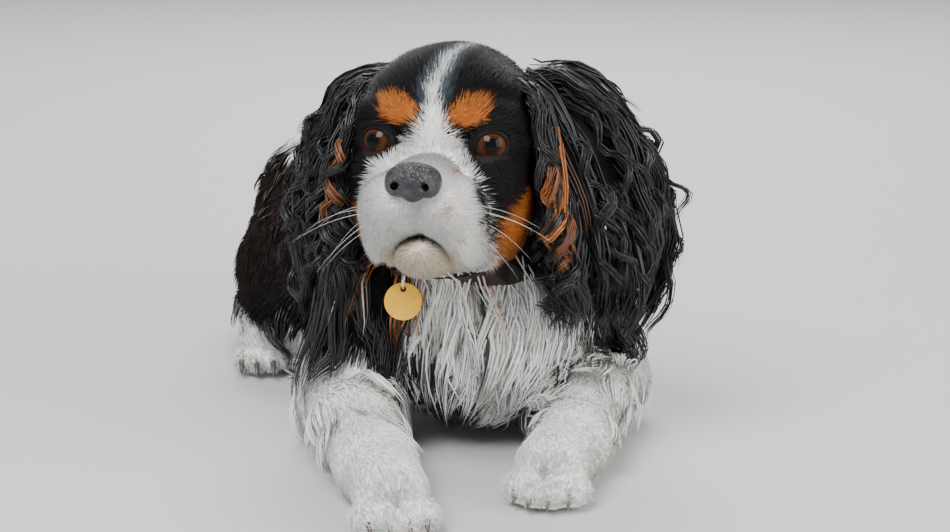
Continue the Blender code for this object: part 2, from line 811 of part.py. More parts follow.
def make_collar(neighbours, flesh, collection):
    """A flat band round the neck, with a loop at the throat for the tag's ring."""
    plane = neck_plane()
    turns = np.linspace(0, 2 * math.pi, COLLAR_SIDES, endpoint=False)
    ways = np.stack([np.cos(turns), np.sin(turns), 0 * turns], axis=1) @ np.array(plane.to_3x3()).T
    rims = []
    for up, out in ((0, -0.004), (1, -0.004), (1, COLLAR_THICKNESS), (0, COLLAR_THICKNESS)):
        start = np.array(plane @ Vector((-0.007, -0.004, COLLAR_UP + up * COLLAR_WIDTH)))
        rims.append(surface_points(flesh, start, ways, out))
    shape = bmesh.new()
    rows = [[shape.verts.new(point) for point in ring] for ring in rims]
    for index in range(4):
        low, high = rows[index], rows[(index + 1) % 4]
        for step in range(len(low)):
            after = (step + 1) % len(low)
            shape.faces.new((low[step], low[after], high[after], high[step]))
    bmesh.ops.triangulate(shape, faces=shape.faces)
    bmesh.ops.recalc_face_normals(shape, faces=shape.faces)
    mesh = bpy.data.meshes.new("collar")
    shape.to_mesh(mesh)
    shape.free()
    collar = bpy.data.objects.new("collar", mesh)
    collection.objects.link(collar)
    lift = RING_RADIUS - RING_WIRE - LOOP_WIRE - CUT_GAP
    bar = tag_frame() @ Vector((0, TAG_HOLE_UP + RING_RADIUS + lift, 0))
    back = Matrix.Rotation(TAG_TURN, 3, "Z") @ Vector((0, LOOP_RADIUS, 0))
    loop = new_ring("loop", Matrix.Translation(bar + back), LOOP_RADIUS, LOOP_WIRE, collection)
    combine(collar, loop, "UNION")
    discard(loop)
    for neighbour in neighbours:
        cut_by(collar, neighbour)
    return collar


def surface_points(flesh, start, ways, out):
    """The points on the ways from start where the flesh's distance is out."""
    low, high = np.zeros(len(ways)), np.full(len(ways), 0.14)
    for _ in range(20):
        middle = (low + high) / 2
        short = flesh.distance(start + middle[:, None] * ways) < out
        low, high = np.where(short, middle, low), np.where(short, high, middle)
    return start + low[:, None] * ways


def new_ring(name, matrix, radius, wire, collection, sides=16, wire_sides=6):
    """A closed ring of round wire about the matrix's Z."""
    turns = [2 * math.pi * index / wire_sides for index in range(wire_sides)]
    rings = []
    for index in range(sides):
        angle = 2 * math.pi * index / sides
        out = Vector((math.cos(angle), math.sin(angle), 0))
        rings.append(
            [matrix @ ((radius + wire * math.cos(t)) * out + Vector((0, 0, wire * math.sin(t)))) for t in turns]
        )
    shape = bmesh.new()
    rows = [[shape.verts.new(point) for point in ring] for ring in rings]
    for index, row in enumerate(rows):
        following = rows[(index + 1) % len(rows)]
        for step in range(wire_sides):
            after = (step + 1) % wire_sides
            shape.faces.new((row[step], row[after], following[after], following[step]))
    bmesh.ops.recalc_face_normals(shape, faces=shape.faces)
    mesh = bpy.data.meshes.new(name)
    shape.to_mesh(mesh)
    shape.free()
    obj = bpy.data.objects.new(name, mesh)
    collection.objects.link(obj)
    return obj


def cylinder(name, matrix, radius, depth, collection, sides=32):
    """A capped cylinder about the matrix's Z."""
    shape = bmesh.new()
    bmesh.ops.create_cone(
        shape, cap_ends=True, segments=sides, radius1=radius, radius2=radius, depth=depth, matrix=matrix
    )
    mesh = bpy.data.meshes.new(name)
    shape.to_mesh(mesh)
    shape.free()
    obj = bpy.data.objects.new(name, mesh)
    collection.objects.link(obj)
    return obj


def tag_frame():
    """Where the tag hangs: X across its face, Y up it, Z out of it."""
    turn = Matrix.Rotation(TAG_TURN, 4, "Z") @ Matrix.Rotation(math.pi / 2 - TAG_LEAN, 4, "X")
    return Matrix.Translation(TAG_MIDDLE) @ turn


def make_tag(collection, cutters):
    """The plain round tag, with the hole for its ring near its upper edge."""
    frame = tag_frame()
    tag = cylinder("tag", frame, TAG_DIAMETER / 2, TAG_THICKNESS, collection)
    place = frame @ Matrix.Translation((0, TAG_HOLE_UP, 0))
    hole = cylinder("hole", place, TAG_HOLE / 2, 3 * TAG_THICKNESS, cutters, 16)
    combine(tag, hole, "DIFFERENCE")
    discard(hole)
    return tag


def make_tag_ring(collection):
    """The split ring, closed here, that passes through the tag's hole."""
    place = tag_frame() @ Matrix.Translation((0, TAG_HOLE_UP + RING_RADIUS, 0)) @ Matrix.Rotation(math.pi / 2, 4, "Y")
    return new_ring("tag_ring", place, RING_RADIUS, RING_WIRE, collection)


# The whole model


def cut_by(obj, other):
    """Cuts obj clear of its neighbour by the parting gap."""
    wider = grown(other, "wider")
    combine(obj, wider, "DIFFERENCE")
    discard(wider)


def claws(piece, joints, side, collection):
    """Joins a tapered claw to the front of each toe, pointing forwards and down."""
    for centre, turn in toes(joints, side):
        root = centre + turn.to_3x3() @ Vector((0, -CM * TOE_RADIUS * 1.05, 0.001))
        ahead = turn.to_3x3() @ Vector((0, -math.cos(CLAW_DROP), -math.sin(CLAW_DROP)))
        shape = bmesh.new()
        bmesh.ops.create_cone(
            shape,
            cap_ends=True,
            segments=8,
            radius1=CM * CLAW_RADIUS,
            radius2=0.0004,
            depth=CM * CLAW_LENGTH,
            matrix=facing(root + 0.3 * CM * CLAW_LENGTH * ahead, ahead),
        )
        mesh = bpy.data.meshes.new("claw")
        shape.to_mesh(mesh)
        shape.free()
        claw = bpy.data.objects.new("claw", mesh)
        collection.objects.link(claw)
        combine(piece, claw, "UNION")
        discard(claw)


def main():
    """Builds the whole animal and parts it into its named pieces."""
    clear_scene()
    parts = new_collection("spaniel")
    cutters = new_collection("cutters")
    looks = {
        "coat_black": material("coat_black", BLACK, 0.45),
        "coat_white": material("coat_white", WHITE, 0.60),
        "nose_leather": material("nose_leather", NOSE_BLACK, 0.40),
        "eye_gloss": material("eye_gloss", IRIS_BROWN, 0.05),
        "tag_metal": material("tag_metal", TAG_YELLOW, 0.30, 1.0),
        "collar_leather": material("collar_leather", LEATHER, 0.55),
        "ring_steel": material("ring_steel", (0.6, 0.6, 0.6, 1.0), 0.25, 1.0),
    }
    flesh = whole_body()
    body = fused("body", flesh, BODY_GRID, BODY_TRIANGLES, parts)
    ground = box("ground", Matrix.Translation((0, 0, -0.1)), (1.2, 1.2, 0.2), cutters)
    combine(body, ground, "DIFFERENCE")
    discard(ground)

    loose = beyond("loose", head_plane(), 0.12, 0.30, cutters, -0.006)
    head = fused("head", flesh, HEAD_GRID, HEAD_TRIANGLES, parts, HEAD_BOUNDS, loose)
    far = beyond("far", head_plane(), 0.12, 0.30, cutters, GAP)
    combine(head, far, "INTERSECT")
    discard(far)
    near = beyond("near", head_plane(), 0.12, 0.30, cutters)
    combine(body, near, "DIFFERENCE")
    discard(near)
    neck_far = beyond("neck_far", neck_plane(), 0.13, 0.30, cutters, GAP)
    neck = duplicate(body, "neck")
    combine(neck, neck_far, "INTERSECT")
    discard(neck_far)
    neck_near = beyond("neck_near", neck_plane(), 0.13, 0.30, cutters)
    combine(body, neck_near, "DIFFERENCE")
    discard(neck_near)

    pieces = part_body(body, cutters)
    pieces["neck"] = neck
    pieces["collar"] = make_collar((neck, head, pieces["torso"]), flesh, parts)
    nose = make_nose(parts)
    cut_by(head, nose)
    for side, side_name in ((1, "left"), (-1, "right")):
        centre = HEAD_FRAME @ Vector((side * EYE_SPACING / 2, 0, 0))
        socket = ball("socket", centre, EYE_RADIUS + GAP, cutters)
        combine(head, socket, "DIFFERENCE")
        discard(socket)
        pieces[f"eye_{side_name}"] = ball(f"eye_{side_name}", centre, EYE_RADIUS, parts)
    pieces["nose"] = nose
    pieces["head"] = head
    for side_name in ("left", "right"):
        ear = make_ear(side_name, parts)
        for other in (head, neck, pieces["torso"]):
            cut_by(ear, other)
        pieces[f"ear_{side_name}"] = ear
    pieces["tag"] = make_tag(parts, cutters)
    pieces["tag_ring"] = make_tag_ring(parts)
    for name in ("forepaw_left", "forepaw_right", "hindpaw_left", "hindpaw_right"):
        joints, side, _ = LIMBS[name.replace("forepaw", "foreleg")]
        claws(pieces[name], joints, side, cutters)
    for name, piece in pieces.items():
        finish(piece, name, looks[LOOK_OF.get(name, "coat_black")], parts)
    bpy.data.collections.remove(cutters)


if __name__ == "__main__":
    main()
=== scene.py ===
"""Looks of a Cavalier King Charles spaniel lying on its chest, as a still model at life size.

Frame: metres, +Z up, the dog faces -Y and its left side is +X. The body is a set of soft masses that run into
one another. A skin is netted on them, and the coat is built over the skin as solid tufts and locks of hair.
"""

from __future__ import annotations

import logging
import math
from collections.abc import Callable, Sequence
from dataclasses import dataclass, field
from enum import Enum

import bpy
import numpy as np
from mathutils import Matrix

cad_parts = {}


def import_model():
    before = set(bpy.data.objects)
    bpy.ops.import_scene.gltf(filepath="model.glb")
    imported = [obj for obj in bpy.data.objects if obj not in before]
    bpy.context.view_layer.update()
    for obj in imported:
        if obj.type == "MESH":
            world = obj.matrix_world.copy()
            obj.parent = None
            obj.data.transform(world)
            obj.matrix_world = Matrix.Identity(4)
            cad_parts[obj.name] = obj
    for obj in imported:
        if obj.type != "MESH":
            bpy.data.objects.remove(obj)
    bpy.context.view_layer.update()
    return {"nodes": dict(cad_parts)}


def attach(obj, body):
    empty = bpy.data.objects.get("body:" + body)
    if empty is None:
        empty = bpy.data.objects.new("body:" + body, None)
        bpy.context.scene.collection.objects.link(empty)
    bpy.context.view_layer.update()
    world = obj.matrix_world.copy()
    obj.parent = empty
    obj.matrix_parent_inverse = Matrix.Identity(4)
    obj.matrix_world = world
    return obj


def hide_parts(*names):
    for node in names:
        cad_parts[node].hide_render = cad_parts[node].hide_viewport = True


LOG = logging.getLogger("spaniel")
CM = 0.01
TINY = 1e-9

Points = np.ndarray
Colour = tuple[float, float, float]


# Numbers and vectors


def unit(vectors: Points) -> Points:
    """The vectors, each divided by its length."""
    return vectors / np.maximum(np.linalg.norm(vectors, axis=-1, keepdims=True), TINY)


def ramp(values: Points, start: float, end: float) -> Points:
    """A smooth step from 0 at start to 1 at end: 3t^2 - 2t^3 with t the share of the way."""
    share = np.clip((values - start) / (end - start), 0.0, 1.0)
    return share * share * (3.0 - 2.0 * share)


def dots(one: Points, other: Points) -> Points:
    """The dot product of each pair of vectors, kept as a last axis of one."""
    return (one * other).sum(axis=-1, keepdims=True)


def ripple(points: Points, size: float, phase: float = 0.0) -> Points:
    """Smooth noise between about -1 and 1: a sum of six crossed sine waves whose length is about size."""
    ways = np.array(
        [(1.0, 0.4, -0.3), (-0.5, 1.1, 0.4), (0.3, -0.6, 1.2),
         (1.3, 0.9, 0.8), (-1.1, 0.7, -1.4), (0.8, -1.6, 0.5)]
    )
    shifts = np.array([0.0, 1.7, 3.1, 4.4, 5.2, 0.9]) + phase
    return np.sin(points @ ways.T * (2.0 * math.pi / size) + shifts).sum(axis=-1) / 3.2


def smooth_path(values: Sequence[Sequence[float]], count: int) -> Points:
    """Rows read off a Catmull-Rom curve through those given, at evenly spaced shares of its length."""
    rows = np.array(values, float)
    last = len(rows) - 1
    padded = np.vstack((2 * rows[0] - rows[1], rows, 2 * rows[-1] - rows[-2]))
    share = np.linspace(0.0, last, count)
    index = np.minimum(share.astype(int), last - 1)
    t = (share - index)[:, None]
    before, one, two, after = (padded[index + step] for step in range(4))
    return 0.5 * (
        2 * one
        + (two - before) * t
        + (2 * before - 5 * one + 4 * two - after) * t**2
        + (3 * one - before - 3 * two + after) * t**3
    )


@dataclass(frozen=True)
class Place:
    """A turned and shifted set of axes, as a 4 by 4 matrix from its own coordinates to the model's."""

    matrix: Points

    @classmethod
    def at(cls, origin: Sequence[float], turn: Points | None = None) -> Place:
        """Axes at the origin given, turned by a 3 by 3 matrix."""
        matrix = np.eye(4)
        matrix[:3, :3] = np.eye(3) if turn is None else turn
        matrix[:3, 3] = origin
        return cls(matrix)

    def out(self, points: Points) -> Points:
        """Points of its own axes in the model's."""
        return points @ self.matrix[:3, :3].T + self.matrix[:3, 3]

    def into(self, points: Points) -> Points:
        """Points of the model in its own axes."""
        return (points - self.matrix[:3, 3]) @ self.matrix[:3, :3]

    def turned(self, vectors: Points) -> Points:
        """Directions of its own axes in the model's."""
        return vectors @ self.matrix[:3, :3].T

    def then(self, other: Place) -> Place:
        """Axes given in its own axes, as axes of the model."""
        return Place(self.matrix @ other.matrix)


def turn_x(angle: float) -> Points:
    """A turn about X by an angle in radians."""
    c, s = math.cos(angle), math.sin(angle)
    return np.array(((1, 0, 0), (0, c, -s), (0, s, c)), float)


def turn_z(angle: float) -> Points:
    """A turn about Z by an angle in radians."""
    c, s = math.cos(angle), math.sin(angle)
    return np.array(((c, -s, 0), (s, c, 0), (0, 0, 1)), float)


MODEL = Place.at((0, 0, 0))
LID_OPENING = (0.78, 0.62)
HEAD_PLACE = Place.at((-0.0370, -0.1750, 0.1810), turn_z(math.radians(-24)) @ turn_x(math.radians(-6)))


# Soft masses


@dataclass(frozen=True)
class Mass:
    """One soft mass: its distance function, how widely it blends, its sign and the ball that holds it."""

    distance: Callable[[Points], Points]
    blend: float
    sign: int
    middle: Points
    reach: float


def blended(one: Points, other: Points, blend: float) -> Points:
    """The smaller of two distances, rounded where they are within blend of each other."""
    if blend <= 0:
        return np.minimum(one, other)
    share = np.clip(0.5 + 0.5 * (other - one) / blend, 0, 1)
    return other + (one - other) * share - blend * share * (1 - share)


class Flesh:
    """Masses that run into one another, as one distance that is negative inside them."""

    def __init__(self) -> None:
        """Starts with no mass."""
        self.masses: list[Mass] = []

    def blob(self, centre: Points, radii: Points, blend: float, place: Place = MODEL, sign: int = 1) -> None:
        """Adds an ellipsoid. Its distance is k(k-1)/g, with k the scaled radius and g that scaled once more.

        Args:
            centre: its middle in the place's own axes, in metres.
            radii: its three radii.
            blend: how far from its surface it runs into what is there.
            place: its axes.
            sign: 1 to add it, -1 to carve it out.
        """
        middle, size = np.array(centre, float), np.array(radii, float)

        def distance(points: Points) -> Points:
            local = (place.into(points) - middle) / size
            scaled = np.linalg.norm(local, axis=1)
            return scaled * (scaled - 1) / np.maximum(np.linalg.norm(local / size, axis=1), TINY)

        self.masses.append(Mass(distance, blend, sign, place.out(middle[None])[0], float(size.max())))

    def chain(
        self, points: Points, radii: Sequence[float], blend: float, place: Place = MODEL, sign: int = 1
    ) -> None:
        """Adds a rod between each point and the next, whose radius runs evenly from one end to the other.

        Args:
            points: the joints in the place's own axes, in metres.
            radii: the radius at each.
            blend: how widely each rod runs into what is there.
            place: their axes.
            sign: 1 to add them, -1 to carve them out.
        """
        joints = place.out(np.array(points, float))
        for start, end, first, last in zip(joints, joints[1:], radii, radii[1:]):
            self._rod(start, end, first, last, blend, sign)

    def _rod(self, start: Points, end: Points, first: float, last: float, blend: float, sign: int) -> None:
        """Adds one rod: the distance to its nearest point, less the radius there."""
        along = end - start

        def distance(points: Points) -> Points:
            share = np.clip((points - start) @ along / (along @ along), 0, 1)
            nearest = start + share[:, None] * along
            return np.linalg.norm(points - nearest, axis=1) - first - (last - first) * share

        reach = np.linalg.norm(along) / 2 + max(first, last)
        self.masses.append(Mass(distance, blend, sign, (start + end) / 2, float(reach)))

    def near(self, points: Points, margin: float = 0.035) -> Flesh:
        """The masses that come within the margin of a box round the points."""
        low, high = points.min(axis=0), points.max(axis=0)
        found = Flesh()
        for mass in self.masses:
            gap = np.maximum(np.maximum(low - mass.middle, mass.middle - high), 0)
            if np.linalg.norm(gap) < mass.reach + margin:
                found.masses.append(mass)
        return found

    def distance(self, points: Points) -> Points:
        """How far each point lies outside the fused masses."""
        found = np.full(len(points), 0.2)
        for mass in self.masses:
            one = mass.distance(points)
            found = blended(found, one, mass.blend) if mass.sign > 0 else -blended(-found, one, mass.blend)
        return found

    def parted(self, points: Points, slabs: int = 24) -> Points:
        """As distance, worked out slab by slab along Y with only the masses near each."""
        found = np.empty(len(points))
        order = np.argsort(points[:, 1])
        for chosen in np.array_split(order, slabs):
            if len(chosen):
                found[chosen] = self.near(points[chosen]).distance(points[chosen])
        return found

    def slope(self, points: Points, step: float = 2e-4) -> Points:
        """The way out at each point: the distance's difference along each axis, made one long."""
        ends = np.concatenate(
            [points + step * axis for axis in np.eye(3)] + [points - step * axis for axis in np.eye(3)]
        )
        values = self.parted(ends).reshape(6, len(points))
        return unit((values[:3] - values[3:]).T)


# The animal's own shape


def add_masses(
    flesh: Flesh, masses: Sequence[tuple], place: Place = MODEL, sides: Sequence[int] = (1,)
) -> None:
    """Adds ellipsoids written in centimetres as centre, radii and blend, on each side named."""
    for side in sides:
        for centre, radii, blend in masses:
            flesh.blob(CM * np.array(centre) * (side, 1, 1), CM * np.array(radii), CM * blend, place)


@dataclass(frozen=True)
class Head:
    """The head's masses, in centimetres from the middle of the eyes: x to its left, y back, z up."""

    masses: tuple = (
        ((0, 4.1, 1.0), (4.65, 5.2, 4.3), 0.0),  # braincase
        ((0, 7.2, -0.6), (3.6, 3.0, 3.4), 1.6),  # back of the skull
        ((0, 1.55, 2.1), (3.7, 2.55, 2.7), 1.2),  # forehead
        ((0, -2.0, -1.75), (1.65, 2.9, 1.25), 1.1),  # bridge of the muzzle
        ((0, 2.0, -5.2), (2.7, 3.8, 1.9), 1.4),  # throat
    )
    pairs: tuple = (
        ((2.35, -0.05, 1.55), (1.7, 1.05, 0.85), 0.7),  # brow
        ((3.3, 2.5, 0.6), (1.45, 2.8, 2.5), 1.2),  # temple
        ((2.8, 1.9, -2.5), (2.15, 3.4, 3.0), 1.3),  # cheek
        ((2.7, -0.1, -1.45), (1.55, 1.35, 1.1), 0.9),  # cheekbone under the eye
        ((2.75, 0.6, 0.05), (1.8, 1.25, 1.5), 0.5),  # orbit
        ((1.45, -2.95, -3.15), (1.85, 2.0, 1.75), 0.8),  # cushion of the upper lip
        ((2.15, -1.85, -4.55), (1.15, 2.05, 1.85), 0.9),  # hanging lip
        ((2.5, 1.5, -4.7), (1.8, 2.7, 1.8), 1.2),  # jowl
    )
    chin: tuple = ((0, -2.2, -5.75), (1.55, 1.75, 1.15), 0.25)
    mouth: tuple = (
        (0, -4.9, -4.35), (0.9, -4.5, -4.75), (1.65, -3.8, -5.6), (2.2, -2.4, -6.3), (2.75, -0.4, -5.9)
    )
    mouth_radius: float = 0.17
    groove: tuple = ((0, -5.4, -2.9), (0, -5.05, -4.4))
    groove_radius: float = 0.12
    eye_apart: float = 2.85
    eye_forward: float = 0.02
    eye_radius: float = 1.10
    eye_outward: float = math.radians(20)
    eye_opening: tuple[float, float] = (0.92, 0.80)
    lid_depth: float = 0.50
    lid_radius: float = 0.15

    def add_to(self, flesh: Flesh) -> None:
        """Adds the head with the line of its mouth, the groove of its lip and its lids."""
        add_masses(flesh, self.masses, HEAD_PLACE)
        add_masses(flesh, self.pairs, HEAD_PLACE, (1, -1))
        for side in (1, -1):
            line = self.mouth_line(side)
            flesh.chain(line, [CM * self.mouth_radius] * len(line), 0.0025, HEAD_PLACE, -1)
        add_masses(flesh, (self.chin,), HEAD_PLACE)
        flesh.chain(CM * np.array(self.groove), [CM * self.groove_radius] * 2, 0.0025, HEAD_PLACE, -1)
        for side in (1, -1):
            ring = self.lid_ring(17)
            flesh.chain(ring, [CM * self.lid_radius] * 17, 0.0022, self.eye_place(side, 0.0))

    def mouth_line(self, side: int) -> Points:
        """One half of the mouth's line, in metres in the head's axes."""
        return CM * np.array(self.mouth) * (side, 1, 1)

    def eye_place(self, side: int, forward: float | None = None) -> Place:
        """Axes at an eye's middle, which looks along -Y."""
        ahead = self.eye_forward if forward is None else forward
        middle = (CM * side * self.eye_apart, -CM * ahead, 0)
        return HEAD_PLACE.then(Place.at(middle, turn_z(side * self.eye_outward)))

    def before_eye(self, paths: Points) -> Points:
        """Which strands have a station in front of an eye's opening."""
        found = np.zeros(len(paths), bool)
        for side in (1, -1):
            x, y, z = (self.eye_place(side).into(paths.reshape(-1, 3)) / CM).T
            wide, high = LID_OPENING
            inside = (np.hypot(x / (wide + 0.06), z / (high + 0.06)) < 1) & (y < 0) & (y > -2.5)
            found |= inside.reshape(paths.shape[:2]).any(axis=1)
        return found

    def lid_ring(self, count: int, grow: float = 1.0) -> Points:
        """The opening between the lids: an ellipse that bows back towards its corners."""
        wide, high = self.eye_opening
        a = np.linspace(0, 2 * math.pi, count)
        depth = -(self.lid_depth + 0.12 * np.sin(a) ** 2)
        return CM * np.stack((grow * wide * np.cos(a), depth, grow * high * np.sin(a)), axis=1)


@dataclass(frozen=True)
class Trunk:
    """The trunk, shoulders and neck, in centimetres in the model's own axes."""

    masses: tuple = (
        ((0, -1.5, 7.2), (7.2, 12.0, 7.7), 0.0),  # rib cage
        ((0, -3.0, 11.6), (4.6, 8.5, 4.6), 2.0),  # withers
        ((0, -11.2, 7.6), (5.2, 4.6, 5.6), 2.2),  # forechest
        ((0, 6.5, 5.0), (6.4, 12.5, 5.4), 2.0),  # belly
        ((0, 10.5, 9.3), (6.2, 9.0, 6.6), 2.5),  # loin
        ((0, 17.8, 9.2), (7.4, 7.4, 7.1), 2.5),  # rump
    )
    shoulder: tuple = ((5.0, -6.5, 8.2), (3.0, 5.6, 5.6), 1.8)
    neck: tuple = ((0.3, -5.5, 12.3), (-0.7, -9.5, 14.6), (-1.6, -12.2, 16.6))
    neck_radii: tuple = (5.6, 4.9, 4.4)

    def add_to(self, flesh: Flesh) -> None:
        """Adds the trunk and its shoulders."""
        add_masses(flesh, self.masses)
        add_masses(flesh, (self.shoulder,), MODEL, (1, -1))

    def add_neck(self, flesh: Flesh) -> None:
        """Adds the neck."""
        flesh.chain(CM * np.array(self.neck), [CM * radius for radius in self.neck_radii], 0.02)


@dataclass(frozen=True)
class Limb:
    """A limb: joints in centimetres with the radius at each, its side, and whether it ends in toes."""

    joints: tuple
    side: int
    toed: bool = True
    toe_radius: float = 1.0
    toe_spread: tuple = (-1.45, -0.5, 0.5, 1.45)
    toe_reach: tuple = (1.1, 1.75, 1.75, 1.1)

    def points(self) -> Points:
        """The joints in metres."""
        return CM * np.array([point for point, _ in self.joints]) * (self.side, 1, 1)

    def add_to(self, flesh: Flesh) -> None:
        """Adds the limb and its toes."""
        flesh.chain(self.points(), [CM * radius for _, radius in self.joints], 0.012)
        if self.toed:
            for place in self.toes():
                radius = CM * self.toe_radius
                flesh.blob((0, 0, 0), (radius, 1.35 * radius, radius), 0.0045, place)

    def toes(self) -> list[Place]:
        """Axes at the middle of each toe, whose -Y runs towards its claw."""
        points = self.points()
        ahead = unit((points[-1] - points[-2]) * (1, 1, 0))
        across = np.array((-ahead[1], ahead[0], 0))
        turn = np.stack((across, -ahead, (0, 0, 1)), axis=1)
        found = []
        for spread, reach in zip(self.toe_spread, self.toe_reach):
            centre = points[-1] + CM * (spread * across + reach * ahead)
            centre[2] = CM * 0.9 * self.toe_radius
            found.append(Place.at(centre, turn))
        return found


RIGHT_FORELEG = (
    ((6.0, -10.5, 8.8), 3.3),
    ((7.6, -9.6, 2.6), 2.75),
    ((7.9, -15.5, 2.3), 2.45),
    ((7.7, -21.6, 1.95), 2.05),
    ((7.7, -26.4, 1.9), 2.05),
)
LEFT_FORELEG = (
    ((6.2, -8.4, 8.6), 3.3),
    ((7.7, -7.2, 2.6), 2.75),
    ((5.6, -13.2, 2.3), 2.45),
    ((3.4, -19.0, 1.95), 2.05),
    ((1.3, -23.3, 1.9), 2.05),
)
HIND_LEG = (
    ((5.0, 17.8, 8.8), 4.5),
    ((7.6, 11.0, 5.6), 3.9),
    ((8.2, 7.0, 3.2), 3.3),
    ((8.6, 14.0, 2.6), 2.7),
    ((8.4, 18.8, 1.65), 1.75),
)
HIND_FOOT = (
    ((8.4, 18.8, 1.65), 1.75),
    ((9.5, 12.0, 1.5), 1.6),
    ((10.1, 7.2, 1.6), 1.75),
)
TAIL_PATH = (
    (0.0, 22.5, 9.0),
    (0.6, 25.6, 6.4),
    (2.4, 28.2, 3.6),
    (5.6, 29.2, 1.95),
    (9.4, 27.8, 1.9),
    (12.2, 24.6, 1.75),
    (13.4, 20.4, 0.95),
)
TAIL_RADII = (2.3, 2.2, 2.1, 2.1, 2.1, 1.9, 1.1)


class Zone(Enum):
    """The parts of the body that the coat differs between."""

    HEAD = 0
    NECK = 1
    TRUNK = 2
    FORELEG = 3
    HINDLEG = 4
    TAIL = 5


class Body:
    """The whole animal's flesh, its zones, the lie of its coat and its coat's depth."""

    def __init__(self) -> None:
        """Builds the whole flesh and that of each zone."""
        self.head, self.trunk = Head(), Trunk()
        self.forelegs = (Limb(LEFT_FORELEG, 1), Limb(RIGHT_FORELEG, -1))
        self.hindlegs = (Limb(HIND_LEG, 1, False), Limb(HIND_LEG, -1, False))
        self.hindfeet = (Limb(HIND_FOOT, 1), Limb(HIND_FOOT, -1))
        self.tail = CM * np.array(TAIL_PATH)
        adders = {
            Zone.TRUNK: (self.trunk.add_to,),
            Zone.NECK: (self.trunk.add_neck,),
            Zone.FORELEG: tuple(limb.add_to for limb in self.forelegs),
            Zone.HINDLEG: tuple(limb.add_to for limb in self.hindlegs + self.hindfeet),
            Zone.TAIL: (self._add_tail,),
            Zone.HEAD: (self.head.add_to,),
        }
        self.flesh = Flesh()
        self.zones: dict[Zone, Flesh] = {}
        for zone, adds in adders.items():
            own = Flesh()
            for add in adds:
                add(self.flesh)
                add(own)
            self.zones[zone] = own

    def _add_tail(self, flesh: Flesh) -> None:
        """Adds the tail."""
        flesh.chain(self.tail, [CM * radius for radius in TAIL_RADII], 0.015)

    def shares(self, points: Points) -> Points:
        """How much each point belongs to each zone: e^(-d/9 mm) of its distance, over their sum."""
        gaps = np.stack([self.zones[zone].distance(points) for zone in Zone], axis=1)
        gaps -= gaps.min(axis=1, keepdims=True)
        weights = np.exp(-gaps / 0.009)
        return weights / weights.sum(axis=1, keepdims=True)

    def depth(self, points: Points) -> Points:
        """How deep the skin lies under the coat's surface, in metres."""
        deep = np.array((0.0020, 0.0060, 0.0055, 0.0036, 0.0048, 0.0050))
        depth = self.shares(points) @ deep
        paw = ramp(points[:, 2], 0.050, 0.020) * ramp(points[:, 1], -0.165, -0.195)
        muzzle = ramp(HEAD_PLACE.into(points)[:, 1], 0.010, -0.015) * (points[:, 2] > 0.09)
        return depth * (1 - 0.45 * paw) * (1 - 0.40 * muzzle)

    def lie(self, points: Points, out: Points) -> Points:
        """The way the coat lies at each point of the skin, along the skin.

        Args:
            points: places on the skin.
            out: the way out of the skin at each.

        Returns:
            Directions along the skin, each one long: every zone's own way, weighted by its share.
        """
        ways = np.stack(
            (
                self._head_way(points),
                self._neck_way(points),
                self._trunk_way(points),
                self._limb_way(points, self.forelegs),
                self._limb_way(points, self.hindlegs + self.hindfeet),
                self._path_way(points, self.tail),
            ),
            axis=1,
        )
        way = (ways * self.shares(points)[:, :, None]).sum(axis=1)
        return unit(way - out * dots(way, out))

    def _head_way(self, points: Points) -> Points:
        """Away from the nose, and downwards over the cheeks."""
        local = HEAD_PLACE.into(points) / CM
        way = local - (0, -6.0, -2.0)
        way = unit(way)
        way[:, 2] -= 0.9 * ramp(local[:, 1], -1.0, 5.0) * ramp(local[:, 2], 3.0, -2.0)
        return HEAD_PLACE.turned(unit(way))

    def _neck_way(self, points: Points) -> Points:
        """Back and down the neck, and straight down its throat."""
        front = ramp(points[:, 1], -0.100, -0.140)[:, None]
        return unit((1 - front) * np.array((0, 0.8, -0.75)) + front * np.array((0, -0.1, -1.0)))

    def _trunk_way(self, points: Points) -> Points:
        """Back and down along the flanks, down the chest and down over the rump."""
        front = ramp(points[:, 1], -0.060, -0.125)[:, None]
        rump = ramp(points[:, 1], 0.17, 0.24)[:, None]
        way = np.array((0, 1.0, -0.45)) * (1 - rump) + np.array((0, 0.5, -1.0)) * rump
        return unit(way * (1 - front) + np.array((0, 0.05, -1.0)) * front)

    def _limb_way(self, points: Points, limbs: Sequence[Limb]) -> Points:
        """Along the nearest limb towards its foot."""
        found = np.zeros_like(points)
        for limb in limbs:
            way, weight = self._nearest(points, limb.points())
            found += way * weight
        return unit(found + 1e-12)

    def _path_way(self, points: Points, path: Points) -> Points:
        """Along a path towards its end."""
        way, _ = self._nearest(points, path)
        return unit(way)

    def _nearest(self, points: Points, path: Points) -> tuple[Points, Points]:
        """The way along a path near each point, and its weight: one over the distance to the sixth."""
        total, weights = np.zeros_like(points), np.zeros((len(points), 1))
        for start, end in zip(path, path[1:]):
            along = end - start
            share = np.clip((points - start) @ along / (along @ along), 0, 1)
            gap = np.linalg.norm(points - start - share[:, None] * along, axis=1)
            weight = ((gap / 0.02 + 0.05) ** -6)[:, None]
            total += weight * unit(along)
            weights += weight
        return total / weights, weights


# Markings


@dataclass(frozen=True)
class Palette:
    """The coat's colours, as linear red, green and blue."""

    black: Colour = (0.0135, 0.0120, 0.0125)
    brown_black: Colour = (0.026, 0.018, 0.015)
    white: Colour = (0.88, 0.86, 0.82)
    cream: Colour = (0.70, 0.60, 0.46)
    tan: Colour = (0.50, 0.155, 0.032)
    # painted sheen: the bluish grey of sky light reflected off black hair
    sheen_grey: Colour = (0.16, 0.19, 0.23)
    lip: Colour = (0.045, 0.022, 0.018)


